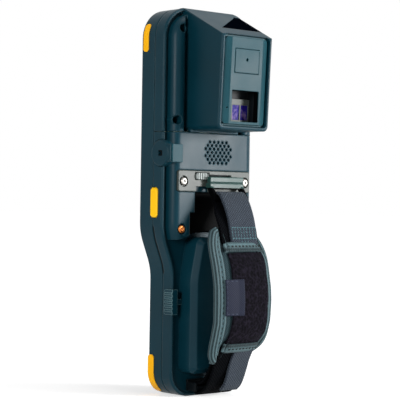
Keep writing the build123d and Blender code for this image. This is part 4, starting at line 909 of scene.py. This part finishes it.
def layPatch(name, setup):
    bm = bmesh.new()
    (x0, x1), (z0, z1) = setup["x"], setup["z"]
    columns, rows = setup["cells"]
    bmesh.ops.create_grid(bm, x_segments=columns, y_segments=rows, size=0.5)
    for vert in bm.verts:
        x, z = x0 + (vert.co.x + 0.5) * (x1 - x0), z0 + (vert.co.y + 0.5) * (z1 - z0)
        lift = setup["lift"]
        if name == "labelTab":
            lift += curl["height"] * max(0.0, (curl["from"] - x) / curl["over"])
        vert.co = padOuter(x, z, lift)[0]
        if setup["rough"]:
            swell = pile["swell"] * noise.noise(Vector((x, z, 3)) * pile["scale"])
            vert.co.y += random.uniform(0, setup["rough"]) + swell
    bmesh.ops.recalc_face_normals(bm, faces=bm.faces)
    if sum(f.normal.y for f in bm.faces) < 0:
        bmesh.ops.reverse_faces(bm, faces=bm.faces)
    thicken(bm, -buried, setup["thickness"])
    if not setup["rough"]:
        softenRims(bm, setup["thickness"] * rimShare)
    markCloth(bm, upAndAcross)
    if "Band" in name:
        # the tape runs across the pad, with a cord along each edge
        rib = cloths["ribbedBindingTape"]["rib"]
        markCloth(bm, lambda loop: (loop.vert.co.x, (loop.vert.co.z - z0) / (z1 - z0) * rib))
    return finishPiece(bm, name, setup["finish"])


random.seed(11)
sewn = {name: layPatch(name, setup) for name, setup in patches.items()}
for name, others in (("loopPatch", [sewn["topBand"], sewn["bottomBand"]]), ("labelTab", [])):
    (x0, x1), (z0, z1) = patches[name]["x"], patches[name]["z"]
    along = [padOuter((x0 + x1) / 2, z0 + (z1 - z0) * k / 40)[0] for k in range(41)]
    across = [padOuter(x0 + (x1 - x0) * k / 20, (z0 + z1) / 2)[0] for k in range(21)]
print("stage: sewn pieces")

# stitch rows: each stitch is a short thread, lengths in mm
stitch = {"length": 1.9, "pitch": 2.7, "width": 0.55, "height": 0.34, "first": 0.6}
# where they run: insets from a piece's edges, heights, and places across
seams = {
    "pad": {"inset": 3.2, "lift": 0.1},
    "label": {"side": 0.7, "ends": 0.9, "free": 7.4},
    "bands": {"topBand": (79.9, 80.3), "bottomBand": (29.0, 29.4), "inset": 0.8, "lift": 0.15},
    "webbing": {"across": (91.8, 86.0), "x": (-12.8, 4.2), "first": -12.6, "apart": 2.1, "count": 9,
                "heights": (91.6, 84.2), "lift": 0.12, "pitch": 0.92},
}


def sewPiece(name, thread, rows, pitch=stitch["pitch"]):
    # stitches along rows of (place, normal) points that are close together
    bm = bmesh.new()
    for points in rows:
        travelled, nextAt = 0.0, stitch["first"]
        for (p, n), (q, _) in zip(points, points[1:]):
            step = (q - p).length
            while travelled + step > nextAt:
                along = (q - p).normalized()
                spot = p + along * (nextAt - travelled)
                across = along.cross(n).normalized()
                turn = Matrix((along, across, along.cross(across))).transposed().to_4x4()
                size = Matrix.Diagonal((stitch["length"] / 2, stitch["width"] / 2, stitch["height"] / 2, 1))
                bmesh.ops.create_uvsphere(bm, u_segments=6, v_segments=4, radius=1.0,
                                          matrix=Matrix.Translation(spot) @ turn @ size)
                nextAt += pitch
            travelled += step
    finishPiece(bm, name, thread)


def onPad(places, lift):
    return [padOuter(x, z, lift) for x, z in places]


def straight(start, end, count=24):
    a, b = Vector(start), Vector(end)
    return [a.lerp(b, i / count) for i in range(count + 1)]


def sewPad():
    seam = seams["pad"]
    rim = [insetPoint(i, seam["inset"]) for i in range(len(padLine) + 1)]
    sewPiece("padStitches", "paleThread", [onPad(rim, binding["proud"] + seam["lift"])])


def sewLabel():
    tab, seam = patches["labelTab"], seams["label"]
    left, free = tab["x"][1] - seam["side"], seam["free"]
    low, high = tab["z"][0] + seam["ends"], tab["z"][1] - seam["ends"]
    lines = (((left, low), (free, low)), ((left, high), (free, high)), ((left, low), (left, high)))
    sewPiece("labelStitches", "slateThread",
             [onPad(straight(*line), tab["lift"] + tab["thickness"]) for line in lines])


def sewBands():
    seam = seams["bands"]
    rows = []
    for name in ("topBand", "bottomBand"):
        setup = patches[name]
        x0, x1 = setup["x"][0] + seam["inset"], setup["x"][1] - seam["inset"]
        rows += [onPad(straight((x0, z), (x1, z)), setup["lift"] + setup["thickness"] + seam["lift"])
                 for z in seam[name]]
    sewPiece("bandStitches", "darkThread", rows)


def sewWebbing():
    # close rows up and down, and two across them, on the end of the upper webbing
    seam = seams["webbing"]
    surface = BVHTree.FromObject(woven["upperWebbing"], bpy.context.evaluated_depsgraph_get())
    lines = [tuple((x, z) for x in seam["x"]) for z in seam["across"]]
    for k in range(seam["count"]):
        lines.append(tuple((seam["first"] + seam["apart"] * k, z) for z in seam["heights"]))
    rows = []
    for line in lines:
        found = [surface.ray_cast(Vector((x, farBehind, z)) * mm, inward)[:2] for x, z in straight(*line)]
        rows.append([(hit / mm + normal * seam["lift"], normal) for hit, normal in found if hit is not None])
    sewPiece("webbingStitches", "paleThread", rows, stitch["length"] * seam["pitch"])


sewPad()
sewLabel()
sewBands()
sewWebbing()
print("stage: stitches")

# domed screw heads with a round socket, as (share of the radius, height) from the rim inwards
screwDome = [(0.99, 0.0), (0.97, 0.22), (0.82, 0.46), (0.60, 0.60), (0.40, 0.64), (0.36, 0.58), (0.30, 0.10),
             (0.0, 0.05)]


def domeHeads(node, finish):
    low, high = (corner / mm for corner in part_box(node))
    radius = (high.z - low.z) / 2
    bm = bmesh.new()
    for x in (low.x + radius, high.x - radius):
        middle = Vector((x, high.y, (low.z + high.z) / 2))
        verts = [bm.verts.new(middle + Vector((share * radius, rise, 0))) for share, rise in screwDome]
        edges = [bm.edges.new(pair) for pair in zip(verts, verts[1:])]
        bmesh.ops.spin(bm, geom=verts + edges, cent=middle, axis=(0, 1, 0), dvec=(0, 0, 0),
                       angle=2 * math.pi, steps=24, use_merge=True)
    bmesh.ops.remove_doubles(bm, verts=bm.verts, dist=0.001)
    bmesh.ops.recalc_face_normals(bm, faces=bm.faces)
    finishPiece(bm, f"{node}_domes", finish)


domeHeads("plate_screws", "turnedSteel")
domeHeads("casing_screws", "turnedBrass")
print("stage: screw heads")

# living hinge of the port cap: a bead of rubber along the fold, which joins cap and tab at every angle
capHinge = {"place": (31.32, 16.02), "span": (126.3, 135.5), "radius": 0.48}


def rollHinge():
    bm = bmesh.new()
    low, high = capHinge["span"]
    spot = Matrix.Translation((*capHinge["place"], (low + high) / 2))
    bmesh.ops.create_cone(bm, cap_ends=True, segments=14, radius1=capHinge["radius"],
                          radius2=capHinge["radius"], depth=high - low, matrix=spot)
    finishPiece(bm, "capHinge", "mouldedFaceCover")


rollHinge()
print("stage: cap hinge")

# key numerals: text height in mm and how far the ink stands on the key
numerals = {"height": 5.2, "proud": 0.03,
            "rows": {"key_r4": "123", "key_r3": "456", "key_r2": "789", "key_r1": ".0-", "key_r5": "<=>"}}


def inkMesh(text):
    curve = bpy.data.curves.new("ink", "FONT")
    curve.body = text
    curve.size = numerals["height"]
    curve.align_x = "CENTER"
    curve.align_y = "CENTER"
    curve.resolution_u = 3
    holder = addObject("ink", curve)
    bpy.context.view_layer.update()
    mesh = bpy.data.meshes.new_from_object(holder.evaluated_get(bpy.context.evaluated_depsgraph_get()))
    bpy.data.objects.remove(holder)
    bm = bmesh.new()
    bm.from_mesh(mesh)
    bmesh.ops.rotate(bm, verts=bm.verts, matrix=Matrix.Rotation(math.pi / 2, 3, "X"), cent=(0, 0, 0))
    return bm


for row, signs in numerals["rows"].items():
    for column, sign in enumerate(signs, start=1):
        node = f"{row}_c{column}"
        low, high = (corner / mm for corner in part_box(node))
        bm = inkMesh(sign)
        bmesh.ops.translate(bm, verts=bm.verts, vec=((low.x + high.x) / 2, low.y - numerals["proud"],
                                                     (low.z + high.z) / 2))
        finishPiece(bm, f"ink_{node}", "keyInk", node, smooth=False)
print("stage: key numerals")
